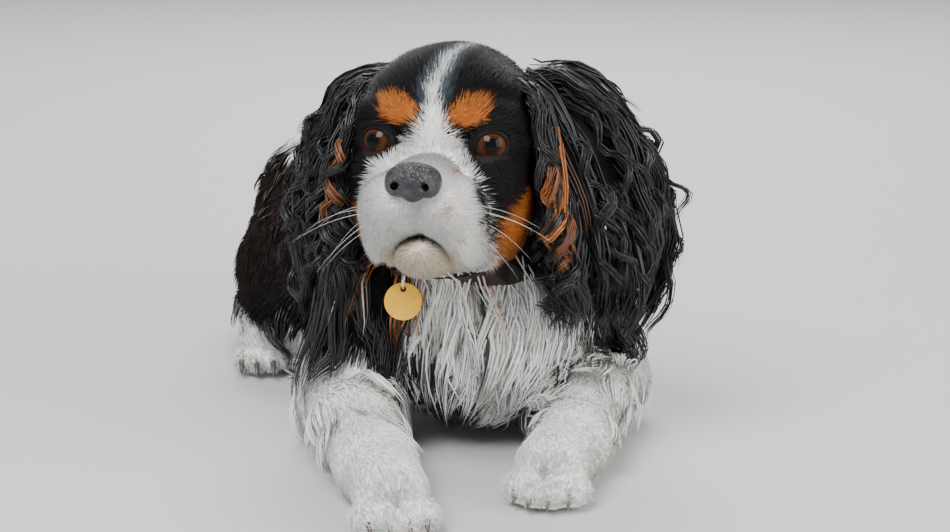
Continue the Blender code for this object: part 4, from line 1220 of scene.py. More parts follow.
@dataclass(frozen=True)
class Ear:
    """One ear: stations of its flap in the head's axes, in centimetres, as middle and half sizes."""

    stations: tuple
    side: int
    turn: float
    bow: float = 0.26

    def rows(self, count: int) -> dict[str, Points]:
        """The flap's middle, its ways down, forwards and out, and its half sizes, by station."""
        flat = [(*point, wide, thick) for point, wide, thick in self.stations]
        rows = smooth_path(flat, count)
        middle = HEAD_PLACE.out(CM * rows[:, :3])
        down = unit(np.gradient(middle, axis=0))
        ahead = HEAD_PLACE.turned((turn_z(self.turn) @ np.array((0.0, -1.0, 0.0)))[None])
        ahead = unit(ahead - down * dots(ahead, down))
        out = self.side * np.cross(down, ahead)
        return {
            "middle": middle, "down": down, "ahead": ahead, "out": out,
            "wide": CM * rows[:, 3:4], "thick": CM * rows[:, 4:5],
        }

    def at(self, share: Points, angle: Points, height: Points, count: int = 61) -> tuple[Points, Points]:
        """Places over the flap and the way out there.

        At a share s of its length and an angle a round it the place is
        m(s) + w(s) cos a ahead + (bow w(s) sin^2 a + t(s) (0.35 + 0.65 sin^2 a) sin a) out + height n(a).

        Args:
            share: of the flap's length, past 1 along its last way down.
            angle: round the flap from its front edge over its outer face.
            height: over its surface, in metres.
            count: stations that the rows are read from.

        Returns:
            The places and the way out at each.
        """
        rows = self.rows(count)
        index = np.clip(share * (count - 1), 0, count - 1).astype(int)
        middle, down, ahead, out = (rows[key][index] for key in ("middle", "down", "ahead", "out"))
        wide, thick = rows["wide"][index][..., 0], rows["thick"][index][..., 0]
        c, s = np.cos(angle), np.sin(angle)
        past = np.maximum(share - 1, 0)[..., None] * 0.14
        normal = unit(c[..., None] * ahead * 0.45 + s[..., None] * out)
        rise = self.bow * wide * s**2 + thick * (0.35 + 0.65 * s**2) * s
        place = (
            middle + down * past + (wide * c)[..., None] * ahead + rise[..., None] * out
            + height[..., None] * normal
        )
        return place, normal

    def leather(self, name: str) -> bpy.types.Mesh:
        """The flap itself: closed rings round its stations, to two thirds of its length."""
        rings, sides = 24, 28
        share, angle = np.meshgrid(
            np.linspace(0.0, 0.62, rings), np.arange(sides) * 2 * math.pi / sides, indexing="ij"
        )
        places, _ = self.at(share.ravel(), angle.ravel(), np.full(rings * sides, -0.0045))
        row, column = np.meshgrid(np.arange(rings - 1), np.arange(sides), indexing="ij")
        after = (column + 1) % sides
        quads = np.stack(
            (row * sides + column, row * sides + after, (row + 1) * sides + after, (row + 1) * sides + column),
            axis=-1
        ).reshape(-1, 4)
        if self.side < 0:
            quads = quads[:, ::-1]
        ring = np.arange(sides)
        ends = []
        for start, centre in ((0, rings * sides), ((rings - 1) * sides, rings * sides + 1)):
            ends.append(np.stack((start + ring, start + (ring + 1) % sides, np.full(sides, centre)), axis=1))
        first, last = places[:sides].mean(axis=0), places[-sides:].mean(axis=0)
        ends[0] = ends[0][:, ::-1] if self.side > 0 else ends[0]
        ends[1] = ends[1] if self.side > 0 else ends[1][:, ::-1]
        return new_mesh(name, np.vstack((places, first, last)), [quads, np.vstack(ends)])

    def hair(
        self, style: Style, reach: tuple[float, float], curl: float, palette: Palette, seed: int
    ) -> Strands:
        """Long hair over the flap: guides that hang down it and coil round their own way.

        A guide's place at t is that of the flap at share s0 + t L and height 2 mm + r(t), moved by
        r(t) (cos p, sin p) across and out, with r(t) = curl min(3t, 1) and p = 2 pi waves t + phase.

        Args:
            style: how the strands are built.
            reach: the shares of the flap's length where guides start.
            curl: the radius of the coils, in metres.
            palette: the coat's colours.
            seed: of the random draw.

        Returns:
            The strands.
        """
        draw = np.random.default_rng(seed)
        guides = max(style.count // style.clump, 1)
        start = draw.uniform(*reach, guides)
        outer = draw.uniform(0, 1, guides) < 0.82
        angle = np.where(
            outer, draw.uniform(-0.25, math.pi + 0.25, guides), draw.uniform(math.pi, 2 * math.pi, guides)
        )
        run = np.minimum(draw.uniform(0.30, 0.46, guides), 1.04 - start + draw.uniform(-0.06, 0.03, guides))
        shares = np.linspace(0.0, 1.0, style.stations)[None]
        share = start[:, None] + run[:, None] * shares
        angles = angle[:, None] + draw.normal(0, 0.10, (guides, 1)) * shares
        radius = curl * draw.uniform(0.5, 1.4, (guides, 1)) * np.minimum(3 * shares, 1)
        radius = radius * (0.2 + 0.8 * ramp(share, 0.15, 0.60))
        height = (
            -0.002 + 0.004 * np.minimum(4 * shares, 1) + draw.uniform(0, style.lift, (guides, 1)) * shares
            + radius
        )
        places, outs = self.at(share, angles, height)
        along = unit(np.gradient(places, axis=1))
        across = np.cross(along, outs)
        phase = draw.uniform(0, 2 * math.pi, (guides, 1))
        turns = 2 * math.pi * style.waves * draw.uniform(0.75, 1.3, (guides, 1)) * shares + phase
        spin = np.where(draw.uniform(0, 1, (guides, 1)) < 0.5, 1, -1)
        places = (
            places + across * (radius * np.cos(turns) * spin)[..., None]
            + outs * (radius * np.sin(turns))[..., None]
        )
        return self._gathered(places, outs, start, angle, style, palette, draw)

    def _gathered(
        self,
        guides: Points,
        outs: Points,
        start: Points,
        angle: Points,
        style: Style,
        palette: Palette,
        draw: np.random.Generator,
    ) -> Strands:
        """Strands round each guide, with the colour of their place on the flap."""
        count = len(guides) * style.clump
        index = np.repeat(np.arange(len(guides)), style.clump)
        shares = np.linspace(0.0, 1.0, style.stations)
        shift = draw.normal(0, style.gather, (count, 3))
        draw_in = 1 - style.pinch * np.sin(math.pi * np.minimum(shares, 0.5)) ** 0.7
        paths = guides[index] + shift[:, None, :] * draw_in[None, :, None]
        slide = draw.normal(0, 0.012, (count, 1, 1))
        paths = paths[:, :1] + (paths - paths[:, :1]) * (1 + slide)
        widths = style.width * draw.uniform(0.6, 1.4, count)
        tan = (
            ramp(np.cos(angle), 0.75, 0.92) * ramp(start, 0.24, 0.28) * ramp(start, 0.40, 0.36)
            * (np.sin(angle) < 0.1)
        )
        tan = (0.75 if self.side > 0 else 0.35) * tan[index][:, None]
        colours = np.array(palette.black) + (np.array(palette.tan) - np.array(palette.black)) * tan
        colours = colours * draw.normal(1, 0.15, (len(guides), 1))[index] * draw.normal(1, 0.1, (count, 1))
        places = np.stack((0.5 + 0.45 * np.cos(angle[index]), start[index] + 0.0 * angle[index]), axis=1)
        places[:, 0] = (angle[index] / (2 * math.pi)) % 1.0
        return Strands(
            paths, outs[index], widths, np.clip(colours, 0.002, 0.9), np.clip(places, 0, 1), style
        )


RIGHT_EAR = Ear(
    (
        ((-3.6, 3.9, 3.1), 1.9, 0.9),
        ((-5.3, 4.0, 2.3), 2.6, 1.0),
        ((-6.7, 4.1, -0.4), 3.2, 1.15),
        ((-7.5, 4.2, -3.6), 3.6, 1.25),
        ((-7.6, 4.2, -6.6), 3.4, 1.25),
        ((-7.1, 3.9, -9.4), 2.3, 1.0),
    ),
    -1,
    math.radians(28),
)
LEFT_EAR = Ear(
    (
        ((3.6, 3.9, 3.1), 1.9, 0.9),
        ((5.5, 4.2, 2.4), 2.6, 1.0),
        ((7.2, 4.9, -0.3), 3.3, 1.2),
        ((8.4, 5.5, -3.8), 3.8, 1.3),
        ((8.7, 5.8, -7.2), 3.5, 1.3),
        ((8.2, 5.7, -10.2), 2.3, 1.0),
    ),
    1,
    math.radians(-30),
)


# Nose, eyes, claws and whiskers


@dataclass(frozen=True)
class Nose:
    """The nose's leather: masses in the head's axes, in centimetres, with its nostrils."""

    masses: tuple = (
        ((0, -4.75, -1.5), (1.4, 1.05, 0.78), 0.0),
        ((0, -4.95, -2.15), (0.62, 0.6, 0.62), 0.35),
    )
    pairs: tuple = (((0.85, -5.0, -1.85), (0.6, 0.8, 0.66), 0.3),)
    nostril: tuple = ((0.62, -6.1, -1.9), (1.0, -5.1, -1.95))
    nostril_radius: float = 0.2
    groove: tuple = ((0, -5.95, -1.5), (0, -5.6, -3.0))

    def mesh(self) -> bpy.types.Mesh:
        """The nose, netted on a half-millimetre grid."""
        flesh = Flesh()
        add_masses(flesh, self.masses, HEAD_PLACE)
        add_masses(flesh, self.pairs, HEAD_PLACE, (1, -1))
        for side in (1, -1):
            ends = CM * np.array(self.nostril) * (side, 1, 1)
            flesh.chain(ends, [CM * self.nostril_radius] * 2, 0.0015, HEAD_PLACE, -1)
        flesh.chain(CM * np.array(self.groove), [0.0006] * 2, 0.0008, HEAD_PLACE, -1)
        middle = HEAD_PLACE.out(CM * np.array(((0, -5.0, -1.9),)))[0]
        axes = [np.arange(centre - 0.021, centre + 0.021, 0.0005) for centre in middle]
        return new_mesh("nose_pad", *self._with_rings(*surface_net(flesh.distance, axes, 0.004)))

    def _with_rings(self, points: Points, faces: Points) -> tuple[Points, list[Points]]:
        """The faces as a list of one array."""
        return points, [faces]

    def finish(self) -> bpy.types.Material:
        """Black leather in small pebbles, a little moist."""
        material, nodes, shader = new_material("nose_leather")
        place = nodes.add("ShaderNodeTexCoord")
        cells = nodes.add("ShaderNodeTexVoronoi", feature="SMOOTH_F1")
        cells.inputs["Scale"].default_value = 800.0
        nodes.join(place.outputs["Object"], cells.inputs["Vector"])
        broad = nodes.noise(place.outputs["Object"], 160.0)
        ramp_node = nodes.add("ShaderNodeValToRGB")
        ramp_node.color_ramp.elements[0].color = (0.012, 0.011, 0.013, 1)
        ramp_node.color_ramp.elements[1].color = (0.062, 0.058, 0.062, 1)
        ramp_node.color_ramp.elements[0].position = 0.35
        ramp_node.color_ramp.elements[1].position = 0.75
        nodes.join(broad.outputs["Fac"], ramp_node.inputs["Fac"])
        nodes.join(ramp_node.outputs["Color"], shader.inputs["Base Color"])
        nodes.join(nodes.span(broad.outputs["Fac"], 0.30, 0.52), shader.inputs["Roughness"])
        bump = nodes.add("ShaderNodeBump", invert=True)
        bump.inputs["Strength"].default_value = 1.0
        bump.inputs["Distance"].default_value = 0.0010
        nodes.join(cells.outputs["Distance"], bump.inputs["Height"])
        nodes.join(bump.outputs["Normal"], shader.inputs["Normal"])
        return material


@dataclass(frozen=True)
class Eye:
    """An eye: a ball whose front bulges into a cornea, with its iris and pupil on its skin."""

    head: Head
    side: int
    iris: float = 0.72
    bulge: float = 0.05

    def mesh(self, name: str) -> bpy.types.Mesh:
        """The ball. A point at angle a from the axis is at radius R (1 + bulge e^-(a/0.5)^2)."""
        rings, sides = 48, 64
        tilt = np.linspace(0, math.pi, rings + 1)[1:-1]
        turn = np.arange(sides) * 2 * math.pi / sides
        a, b = np.meshgrid(tilt, turn, indexing="ij")
        size = CM * self.head.eye_radius * (1 + self.bulge * np.exp(-((a / 0.5) ** 2)))
        local = np.stack(
            (size * np.sin(a) * np.cos(b), -size * np.cos(a), size * np.sin(a) * np.sin(b)), axis=-1
        )
        poles = CM * self.head.eye_radius * np.array(((0, -(1 + self.bulge), 0), (0, 1, 0)))
        flat = np.vstack((local.reshape(-1, 3), poles))
        row, column = np.meshgrid(np.arange(rings - 2), np.arange(sides), indexing="ij")
        after = (column + 1) % sides
        quads = np.stack(
            (row * sides + column, row * sides + after, (row + 1) * sides + after, (row + 1) * sides + column),
            axis=-1
        ).reshape(-1, 4)
        ring, last = np.arange(sides), (rings - 2) * sides
        front = np.stack((ring, np.full(sides, len(flat) - 2), (ring + 1) % sides), axis=1)
        back = np.stack((last + ring, last + (ring + 1) % sides, np.full(sides, len(flat) - 1)), axis=1)
        mesh = new_mesh(name, self.head.eye_place(self.side).out(flat), [quads, np.vstack((front, back))])
        angle = np.concatenate((a.ravel(), (0.0, math.pi)))
        swirl = np.concatenate((b.ravel(), (0.0, 0.0)))
        gaze = np.stack((angle / 1.6, 0.5 + 0.5 * np.cos(swirl), 0.5 + 0.5 * np.sin(swirl)), axis=1)
        paint(mesh, gaze, "gaze")
        return mesh

    @staticmethod
    def finish() -> bpy.types.Material:
        """Brown iris with fine spokes, black pupil, dark rim and off-white, under a clear wet coat."""
        material, nodes, shader = new_material("eye_gloss")
        gaze = nodes.add("ShaderNodeAttribute", attribute_name="gaze")
        parts = nodes.add("ShaderNodeSeparateColor")
        nodes.join(gaze.outputs["Color"], parts.inputs["Color"])
        rings = nodes.add("ShaderNodeValToRGB")
        stops = (
            (0.0, (0.002, 0.002, 0.002, 1)), (0.205, (0.002, 0.002, 0.002, 1)),
            (0.245, (0.032, 0.008, 0.003, 1)), (0.36, (0.068, 0.021, 0.007, 1)),
            (0.47, (0.040, 0.012, 0.004, 1)), (0.53, (0.006, 0.004, 0.003, 1)),
            (0.60, (0.05, 0.035, 0.03, 1)), (1.0, (0.05, 0.03, 0.025, 1)),
        )
        while len(rings.color_ramp.elements) < len(stops):
            rings.color_ramp.elements.new(0.5)
        for element, (position, colour) in zip(rings.color_ramp.elements, stops):
            element.position, element.color = position, colour
        nodes.join(parts.outputs["Red"], rings.inputs["Fac"])
        spokes = nodes.add("ShaderNodeTexNoise")
        spokes.inputs["Scale"].default_value = 9.0
        spokes.inputs["Detail"].default_value = 4.0
        squeeze = nodes.add("ShaderNodeMapping")
        squeeze.inputs["Scale"].default_value = (0.4, 1.6, 1.6)
        nodes.join(gaze.outputs["Color"], squeeze.inputs["Vector"])
        nodes.join(squeeze.outputs["Vector"], spokes.inputs["Vector"])
        vary = nodes.add("ShaderNodeVectorMath", operation="SCALE")
        nodes.join(rings.outputs["Color"], vary.inputs["Vector"])
        nodes.join(nodes.span(spokes.outputs["Fac"], 0.55, 1.45), vary.inputs["Scale"])
        nodes.join(vary.outputs["Vector"], shader.inputs["Base Color"])
        shader.inputs["Roughness"].default_value = 0.3
        shader.inputs["Specular IOR Level"].default_value = 0.0
        shader.inputs["Coat Weight"].default_value = 0.3
        shader.inputs["Coat Roughness"].default_value = 0.02
        return material


@dataclass(frozen=True)
class Lids:
    """The lids of an eye, as one closed band round its opening.

    Its section is a loop of points (e, h) in millimetres: e runs out from the opening's edge over the ball
    and h is the height over it. The opening is an ellipse, and the point at turn a is at the angle
    asin(r / R) + e / R from the eye's axis, with r the ellipse's radius there, at R + h from its middle.
    """

    head: Head
    side: int
    section: tuple = (
        (0.1, 0.05), (-0.15, 0.35), (0.05, 0.7), (0.7, 0.9), (1.8, 0.95), (3.2, 0.8), (4.6, 0.4), (6.2, -0.7),
        (7.4, -2.4), (5.4, -2.6), (2.4, -1.2),
    )
    outer: tuple[int, int] = (3, 7)

    def surface(self) -> tuple[Points, Points, int]:
        """The band's points, its faces as rows of four, and how many points a section has."""
        turn = np.arange(72) * 2 * math.pi / 72
        x, z = CM * LID_OPENING[0] * np.cos(turn), CM * LID_OPENING[1] * np.sin(turn)
        radius = CM * self.head.eye_radius
        start, around = np.arcsin(np.hypot(x, z) / radius), np.arctan2(z, x)
        loop = 0.001 * np.array(self.section)
        angle = start[:, None] + loop[None, :, 0] / radius
        heavy = 1 + 0.6 * np.maximum(np.sin(turn), 0)[:, None] * (loop[None, :, 1] > 0)
        size = radius + loop[None, :, 1] * heavy
        local = np.stack(
            (size * np.sin(angle) * np.cos(around)[:, None], -size * np.cos(angle),
             size * np.sin(angle) * np.sin(around)[:, None]), axis=-1,
        )
        rows, columns = angle.shape
        row, column = np.meshgrid(np.arange(rows), np.arange(columns), indexing="ij")
        below, after = (row + 1) % rows, (column + 1) % columns
        quads = np.stack(
            (row * columns + column, row * columns + after, below * columns + after, below * columns + column),
            axis=-1
        )
        return self.head.eye_place(self.side).out(local.reshape(-1, 3)), quads.reshape(-1, 4), columns

    def scalp(self, body: Body) -> Scalp:
        """The outer part of the band, where its fur grows."""
        points, faces, columns = self.surface()
        column = faces[:, 0] % columns
        return Scalp.on(body, points, faces[(column >= self.outer[0]) & (column < self.outer[1])])


def tubes(paths: Points, radii: Points, name: str, sides: int = 8) -> bpy.types.Mesh:
    """Closed round tubes along paths, as one mesh.

    Args:
        paths: (tubes, stations, 3).
        radii: (tubes, stations), nought at a pointed end.
        name: of the mesh.
        sides: of a section.

    Returns:
        The mesh. A section is the circle p + r (cos a u + sin a v) with u and v square to the path.
    """
    count, stations, _ = paths.shape
    along = unit(np.gradient(paths, axis=1))
    guide = np.where(np.abs(along[:, :1, 2:]) < 0.8, (0.0, 0.0, 1.0), (1.0, 0.0, 0.0))
    one = unit(np.cross(along, np.broadcast_to(guide, along.shape)))
    two = np.cross(along, one)
    angle = np.arange(sides) * 2 * math.pi / sides
    ring = np.cos(angle)[:, None] * one[:, :, None] + np.sin(angle)[:, None] * two[:, :, None]
    body = paths[:, :, None] + radii[:, :, None, None] * ring
    points = np.concatenate((body.reshape(count, -1, 3), paths[:, :1], paths[:, -1:]), axis=1)
    row, column = np.meshgrid(np.arange(stations - 1), np.arange(sides), indexing="ij")
    after = (column + 1) % sides
    quads = np.stack(
        (row * sides + column, row * sides + after, (row + 1) * sides + after, (row + 1) * sides + column),
        axis=-1
    ).reshape(-1, 4)
    turn, last = np.arange(sides), (stations - 1) * sides
    first = np.stack((turn, np.full(sides, stations * sides), (turn + 1) % sides), axis=1)
    end = np.stack((last + turn, last + (turn + 1) % sides, np.full(sides, stations * sides + 1)), axis=1)
    starts = (np.arange(count) * points.shape[1])[:, None, None]
    rings = [(quads[None] + starts).reshape(-1, 4), (np.vstack((first, end))[None] + starts).reshape(-1, 3)]
    return new_mesh(name, points.reshape(-1, 3), rings)


def plain_finish(
    name: str, low: Colour, high: Colour, rough: tuple[float, float], scale: float, metal: float = 0.0,
    bump: float = 0.0, coat: float = 0.0
) -> bpy.types.Material:
    """A finish that varies between two colours and two roughnesses in soft noise.

    Args:
        name: its name.
        low: the darker colour.
        high: the lighter colour.
        rough: the lowest and highest roughness.
        scale: of the noise, in repeats a metre.
        metal: 1 for metal.
        bump: the depth of its grain, in metres.
        coat: the weight of a clear coat.

    Returns:
        The material.
    """
    material, nodes, shader = new_material(name)
    place = nodes.add("ShaderNodeTexCoord")
    noise = nodes.noise(place.outputs["Object"], scale)
    mix = nodes.add("ShaderNodeValToRGB")
    mix.color_ramp.elements[0].color = (*low, 1)
    mix.color_ramp.elements[1].color = (*high, 1)
    mix.color_ramp.elements[0].position, mix.color_ramp.elements[1].position = 0.3, 0.7
    nodes.join(noise.outputs["Fac"], mix.inputs["Fac"])
    nodes.join(mix.outputs["Color"], shader.inputs["Base Color"])
    nodes.join(nodes.span(noise.outputs["Fac"], *rough), shader.inputs["Roughness"])
    shader.inputs["Metallic"].default_value = metal
    shader.inputs["Coat Weight"].default_value = coat
    if bump:
        fine = nodes.noise(place.outputs["Object"], 6 * scale)
        bumps = nodes.add("ShaderNodeBump")
        bumps.inputs["Distance"].default_value = bump
        nodes.join(fine.outputs["Fac"], bumps.inputs["Height"])
        nodes.join(bumps.outputs["Normal"], shader.inputs["Normal"])
    return material


# The whole dressed animal


class Spaniel:
    """Builds the skin, the coat and the small pieces, and reports each."""

    def __init__(self, nodes: dict[str, bpy.types.Object]) -> None:
        """Prepares the body, its markings and the shared finishes.

        Args:
            nodes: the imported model's nodes by name.
        """
        self.nodes = nodes
        self.body = Body()
        self.markings = Markings(self.body)
        self.group = hair_variation()
        self.fur = Fur("coat_hair").build(self.group)
        self.long_fur = Fur("coat_long_hair", roughness=0.34, specular=0.5, streaks=700.0).build(self.group)
        self.hide = Fur("coat_skin", roughness=0.6, streaks=1200.0, strength=0.3, bump=0.25).build(self.group)

    def report(self, obj: bpy.types.Object) -> None:
        """Logs a piece's name and its number of triangles."""
        obj.data.calc_loop_triangles()
        LOG.info("%s: %d triangles", obj.name, len(obj.data.loop_triangles))

    def build_skin(self) -> Scalp:
        """The skin, netted inside the coat by its depth on a grid that is finer about the head."""
        axes = (
            fine_axis(-0.135, 0.135, (-0.088, 0.024), 0.0019, 0.0042),
            fine_axis(-0.310, 0.325, (-0.236, -0.100), 0.0019, 0.0042),
            fine_axis(-0.012, 0.245, (0.112, 0.238), 0.0019, 0.0042),
        )
        points, faces = surface_net(
            lambda spots: self.body.flesh.parted(spots) + self.body.depth(spots), axes, 0.022
        )
        points[:, 2] = np.maximum(points[:, 2], 0.0006)
        mesh = new_mesh("skin", points, [faces])
        paint(mesh, self._skin_colours(points))
        skin = new_piece("skin", mesh, self.hide)
        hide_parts(*(name for name in self.nodes if name.split("_")[0] in SKIN_NODES))
        self.report(skin)
        return Scalp.on(self.body, points, faces)

    def _skin_colours(self, points: Points) -> Points:
        """The markings, with dark lips and lids."""
        colours = np.minimum(self.markings.colours(points) * 1.04, 0.93)
        dark = np.zeros(len(points))
        for side in (1, -1):
            line = HEAD_PLACE.out(self.body.head.mouth_line(side))
            dark = np.maximum(dark, ramp(path_gap(points, line), 0.0034, 0.0018))
            ring = self.body.head.eye_place(side, 0.0).out(self.body.head.lid_ring(17))
            dark = np.maximum(dark, ramp(path_gap(points, ring), 0.0036, 0.0022))
        return colours + (np.array(self.markings.palette.lip) - colours) * dark[:, None]

    def coat_piece(self, name: str, strands: Strands, finish: bpy.types.Material) -> None:
        """Makes strands a piece."""
        mesh = strands.mesh(name)
        obj = new_piece(name, mesh, finish)
        self.report(obj)

    def build_coat(self, scalp: Scalp) -> None:
        """The coat: short on face and feet, longer over the body, locks on bib, legs, belly and tail."""
        groomer = Groomer(scalp, self.markings)
        spots = scalp.middles
        shares = self.body.shares(spots)
        head, neck, trunk, fore, hind, tail = shares.T
        local = HEAD_PLACE.into(spots) / CM
        clear = self._clear(spots)
        up = ramp(spots[:, 2], 0.002, 0.006)
        face = head * ramp(local[:, 1], 2.6, 1.8) * clear * (1 + 0.8 * ramp(local[:, 1], -1.5, -3.0))
        rest = head * (1 - ramp(local[:, 1], 2.6, 1.8)) * clear
        self.coat_piece("coat_face", groomer.grow(
            Style(49000, 1, 2, 0.00085, 0.0015, root_shade=0.25),
            face, face_length, head_unwrap, 11), self.fur)
        self.coat_piece("coat_skull", groomer.grow(
            Style(25000, 1, 2, 0.0011, 0.0012), rest, skull_length, head_unwrap, 12), self.fur)
        body_map = round_axis(1, -0.31, 0.33, (0.0, 0.08))
        back = trunk * up * ramp(spots[:, 1], -0.04, 0.0)
        coarse = Style(4800, 3, 4, 0.0019, 0.0032, wave=0.0008, gather=0.002, swing=0.10)
        self.coat_piece("coat_back", groomer.grow(
            coarse, back * (spots[:, 0] > 0), body_length, body_map, 13), self.fur)
        self.coat_piece("coat_flank", groomer.grow(
            coarse, back * (spots[:, 0] <= 0), body_length, body_map, 14), self.fur)
        shoulders = (
            ramp(trunk + neck, 0.5, 0.8) * up * (1 - ramp(spots[:, 1], -0.04, 0.0))
            * ramp(spots[:, 1], -0.20, -0.12)
        )
        self.coat_piece("coat_shoulders", groomer.grow(
            Style(5800, 6, 5, 0.0016, 0.0050, wave=0.0016, waves=1.1, gather=0.003, swing=0.12), shoulders,
            body_length, body_map, 20), self.fur)
        low = self._paws(spots)
        self.coat_piece("coat_paws", groomer.grow(
            Style(24000, 1, 2, 0.0010, 0.0013, root_shade=0.25), low * up,
            lambda p: np.full(len(p), 0.0068), body_map, 15), self.fur)
        legs = (fore + hind) * (1 - low) * up
        self.coat_piece("coat_legs", groomer.grow(
            Style(30000, 1, 2, 0.0013, 0.0018, swing=0.14, root_shade=0.25), legs,
            lambda p: np.full(len(p), 0.0125), body_map, 16), self.fur)
        self.coat_piece("coat_tail", groomer.grow(
            Style(2400, 8, 6, 0.0018, 0.0090, wave=0.0030, waves=1.2, gather=0.004), tail * up,
            lambda p: np.full(len(p), 0.048), body_map, 17), self.long_fur)
        bib = (neck + trunk) * bib_region(spots) + head * throat_region(local)
        self.coat_piece("coat_bib", groomer.grow(
            Style(4300, 17, 8, 0.0016, 0.0090, wave=0.0042, waves=1.0, gather=0.0054, pinch=0.75, droop=0.6,
                  flatness=0.30, root_shade=0.25), bib,
            bib_length, body_map, 18), self.long_fur)
        self.coat_piece("coat_fringe", groomer.grow(
            Style(1700, 8, 6, 0.0014, 0.0050, wave=0.0012, waves=0.8, gather=0.003, droop=0.3),
            fringe_region(spots) * (trunk + fore + hind) * (1 - low),
            lambda p: np.full(len(p), 0.030), body_map, 19),
            self.long_fur)

    def _clear(self, points: Points) -> Points:
        """Where fur may start: not on lids, lips, nose or in the eyes."""
        head = self.body.head
        clear = np.ones(len(points))
        for side in (1, -1):
            line = HEAD_PLACE.out(head.mouth_line(side))
            clear *= ramp(path_gap(points, line), 0.0015, 0.0026)
            x, y, z = (head.eye_place(side).into(points) / CM).T
            wide, high = LID_OPENING
            inside = np.hypot(x / (wide + 0.26), z / (high + 0.26))
            clear *= np.where(y < 1.0, ramp(inside, 0.98, 1.08), 1.0)
        local = HEAD_PLACE.into(points) / CM
        nose = np.linalg.norm((local - (0, -5.0, -1.65)) / (1.30, 1.0, 0.72), axis=1)
        return clear * ramp(nose, 0.93, 1.0)

    def _paws(self, points: Points) -> Points:
        """1 on the paws and 0 above them."""
        front = ramp(points[:, 1], -0.175, -0.200) * ramp(points[:, 2], 0.075, 0.055)
        x, y, z = points.T
        feet = ramp(np.abs(x), 0.075, 0.085) * ramp(z, 0.036, 0.026) * (y > 0.02) * (y < 0.2)
        return np.maximum(front, feet)

    def build_ears(self) -> None:
        """Each ear's leather and its long curls."""
        palette = self.markings.palette
        for side_name, ear, seed in (("left", LEFT_EAR, 31), ("right", RIGHT_EAR, 41)):
            mesh = ear.leather(f"ear_leather_{side_name}")
            paint(mesh, np.tile(np.array(palette.black) * 0.8, (len(mesh.vertices), 1)))
            leather = new_piece(f"ear_leather_{side_name}", mesh, self.hide)
            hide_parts(f"ear_{side_name}")
            self.report(leather)
            under = Style(1200, 8, 7, 0.0020, 0.005, waves=1.2, pinch=0.5, gather=0.0035, root_shade=0.3)
            self.coat_piece(
                f"ear_under_{side_name}", ear.hair(under, (0.0, 0.7), 0.0022, palette, seed), self.long_fur
            )
            curls = Style(1500, 15, 18, 0.0012, 0.008, waves=2.2, pinch=0.62, gather=0.0024, root_shade=0.2)
            self.coat_piece(
                f"ear_curls_{side_name}", ear.hair(curls, (0.02, 0.66), 0.0050, palette, seed + 1),
                self.long_fur
            )

    def build_face(self) -> None:
        """Nose, eyes, lids and whiskers."""
        nose = Nose()
        pad = new_piece("nose_pad", nose.mesh(), nose.finish())
        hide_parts("nose")
        self.report(pad)
        gloss = Eye.finish()
        rim = plain_finish("lid_rim", (0.004, 0.003, 0.003), (0.012, 0.008, 0.007), (0.4, 0.55), 300.0)
        rim.node_tree.nodes["Principled BSDF"].inputs["Specular IOR Level"].default_value = 0.12
        for side, side_name in ((1, "left"), (-1, "right")):
            eye = new_piece(
                f"eyeball_{side_name}", Eye(self.body.head, side).mesh(f"eyeball_{side_name}"), gloss
            )
            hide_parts(f"eye_{side_name}")
            self.report(eye)
            lids = Lids(self.body.head, side)
            points, faces, _ = lids.surface()
            band = new_piece(f"lids_{side_name}", new_mesh(f"lids_{side_name}", points, [faces]), rim)
            self.report(band)
            groomer = Groomer(lids.scalp(self.body), self.markings)
            fuzz = groomer.grow(
                Style(2500, 1, 2, 0.0008, 0.0008), np.ones(len(groomer.scalp.areas)),
                lambda p: np.full(len(p), 0.0042), head_unwrap, 60 + side)
            self.coat_piece(f"coat_lids_{side_name}", fuzz, self.fur)
        self.build_whiskers()

    def build_whiskers(self) -> None:
        """Whiskers: thin tapered tubes that start on the lips and bow back and down."""
        draw = np.random.default_rng(77)
        roots, ways = [], []
        for side in (1, -1):
            for row in range(2):
                for column in range(3):
                    roots.append(
                        (side * (2.45 + 0.12 * column - 0.25 * row), -3.9 + 0.75 * column, -3.2 - 0.75 * row)
                    )
                    ways.append((side * 1.0, -0.25 + 0.38 * column, -0.05 - 0.42 * row))
        starts = HEAD_PLACE.out(CM * (np.array(roots) + draw.normal(0, 0.12, (12, 3))))
        gap = self.body.flesh.distance(starts)[:, None]
        slope = self.body.flesh.slope(starts)
        starts = starts - slope * (gap + 0.004)
        ways = HEAD_PLACE.turned(unit(np.array(ways) + draw.normal(0, 0.12, (12, 3))))
        length = draw.uniform(0.024, 0.042, (12, 1, 1))
        t = np.linspace(0, 1, 12)[None, :, None]
        paths = starts[:, None] + ways[:, None] * length * t + np.array((0, 0.0, -0.012)) * t**2
        radii = np.broadcast_to(0.00012 * (1 - 0.85 * t[..., 0]), (12, 12))
        finish = plain_finish("whisker", (0.75, 0.73, 0.70), (0.9, 0.88, 0.86), (0.3, 0.4), 90.0)
        self.report(new_piece("whiskers", tubes(paths, radii, "whiskers", 6), finish))

    def build_claws(self) -> None:
        """Claws: tapered tubes that bow down in front of each toe."""
        limbs = self.body.forelegs + self.body.hindfeet
        finish = plain_finish(
            "claw_horn", (0.035, 0.024, 0.018), (0.14, 0.10, 0.075), (0.25, 0.4), 200.0, coat=0.2
        )
        paths = []
        t = np.linspace(0, 1, 9)[:, None]
        for limb in limbs:
            for place in limb.toes():
                path = np.array((0, -0.0080, 0.0014)) + t * (0, -0.0090, -0.0016) + t**2 * (0, 0.001, -0.0052)
                paths.append(place.out(path))
        radii = np.broadcast_to(0.0021 * (1 - t[:, 0]) ** 0.6, (len(paths), 9))
        stack = np.array(paths)
        stack[:, :, 2] = np.maximum(stack[:, :, 2], 0.002)
        self.report(new_piece("claws", tubes(stack, radii, "claws", 10), finish))

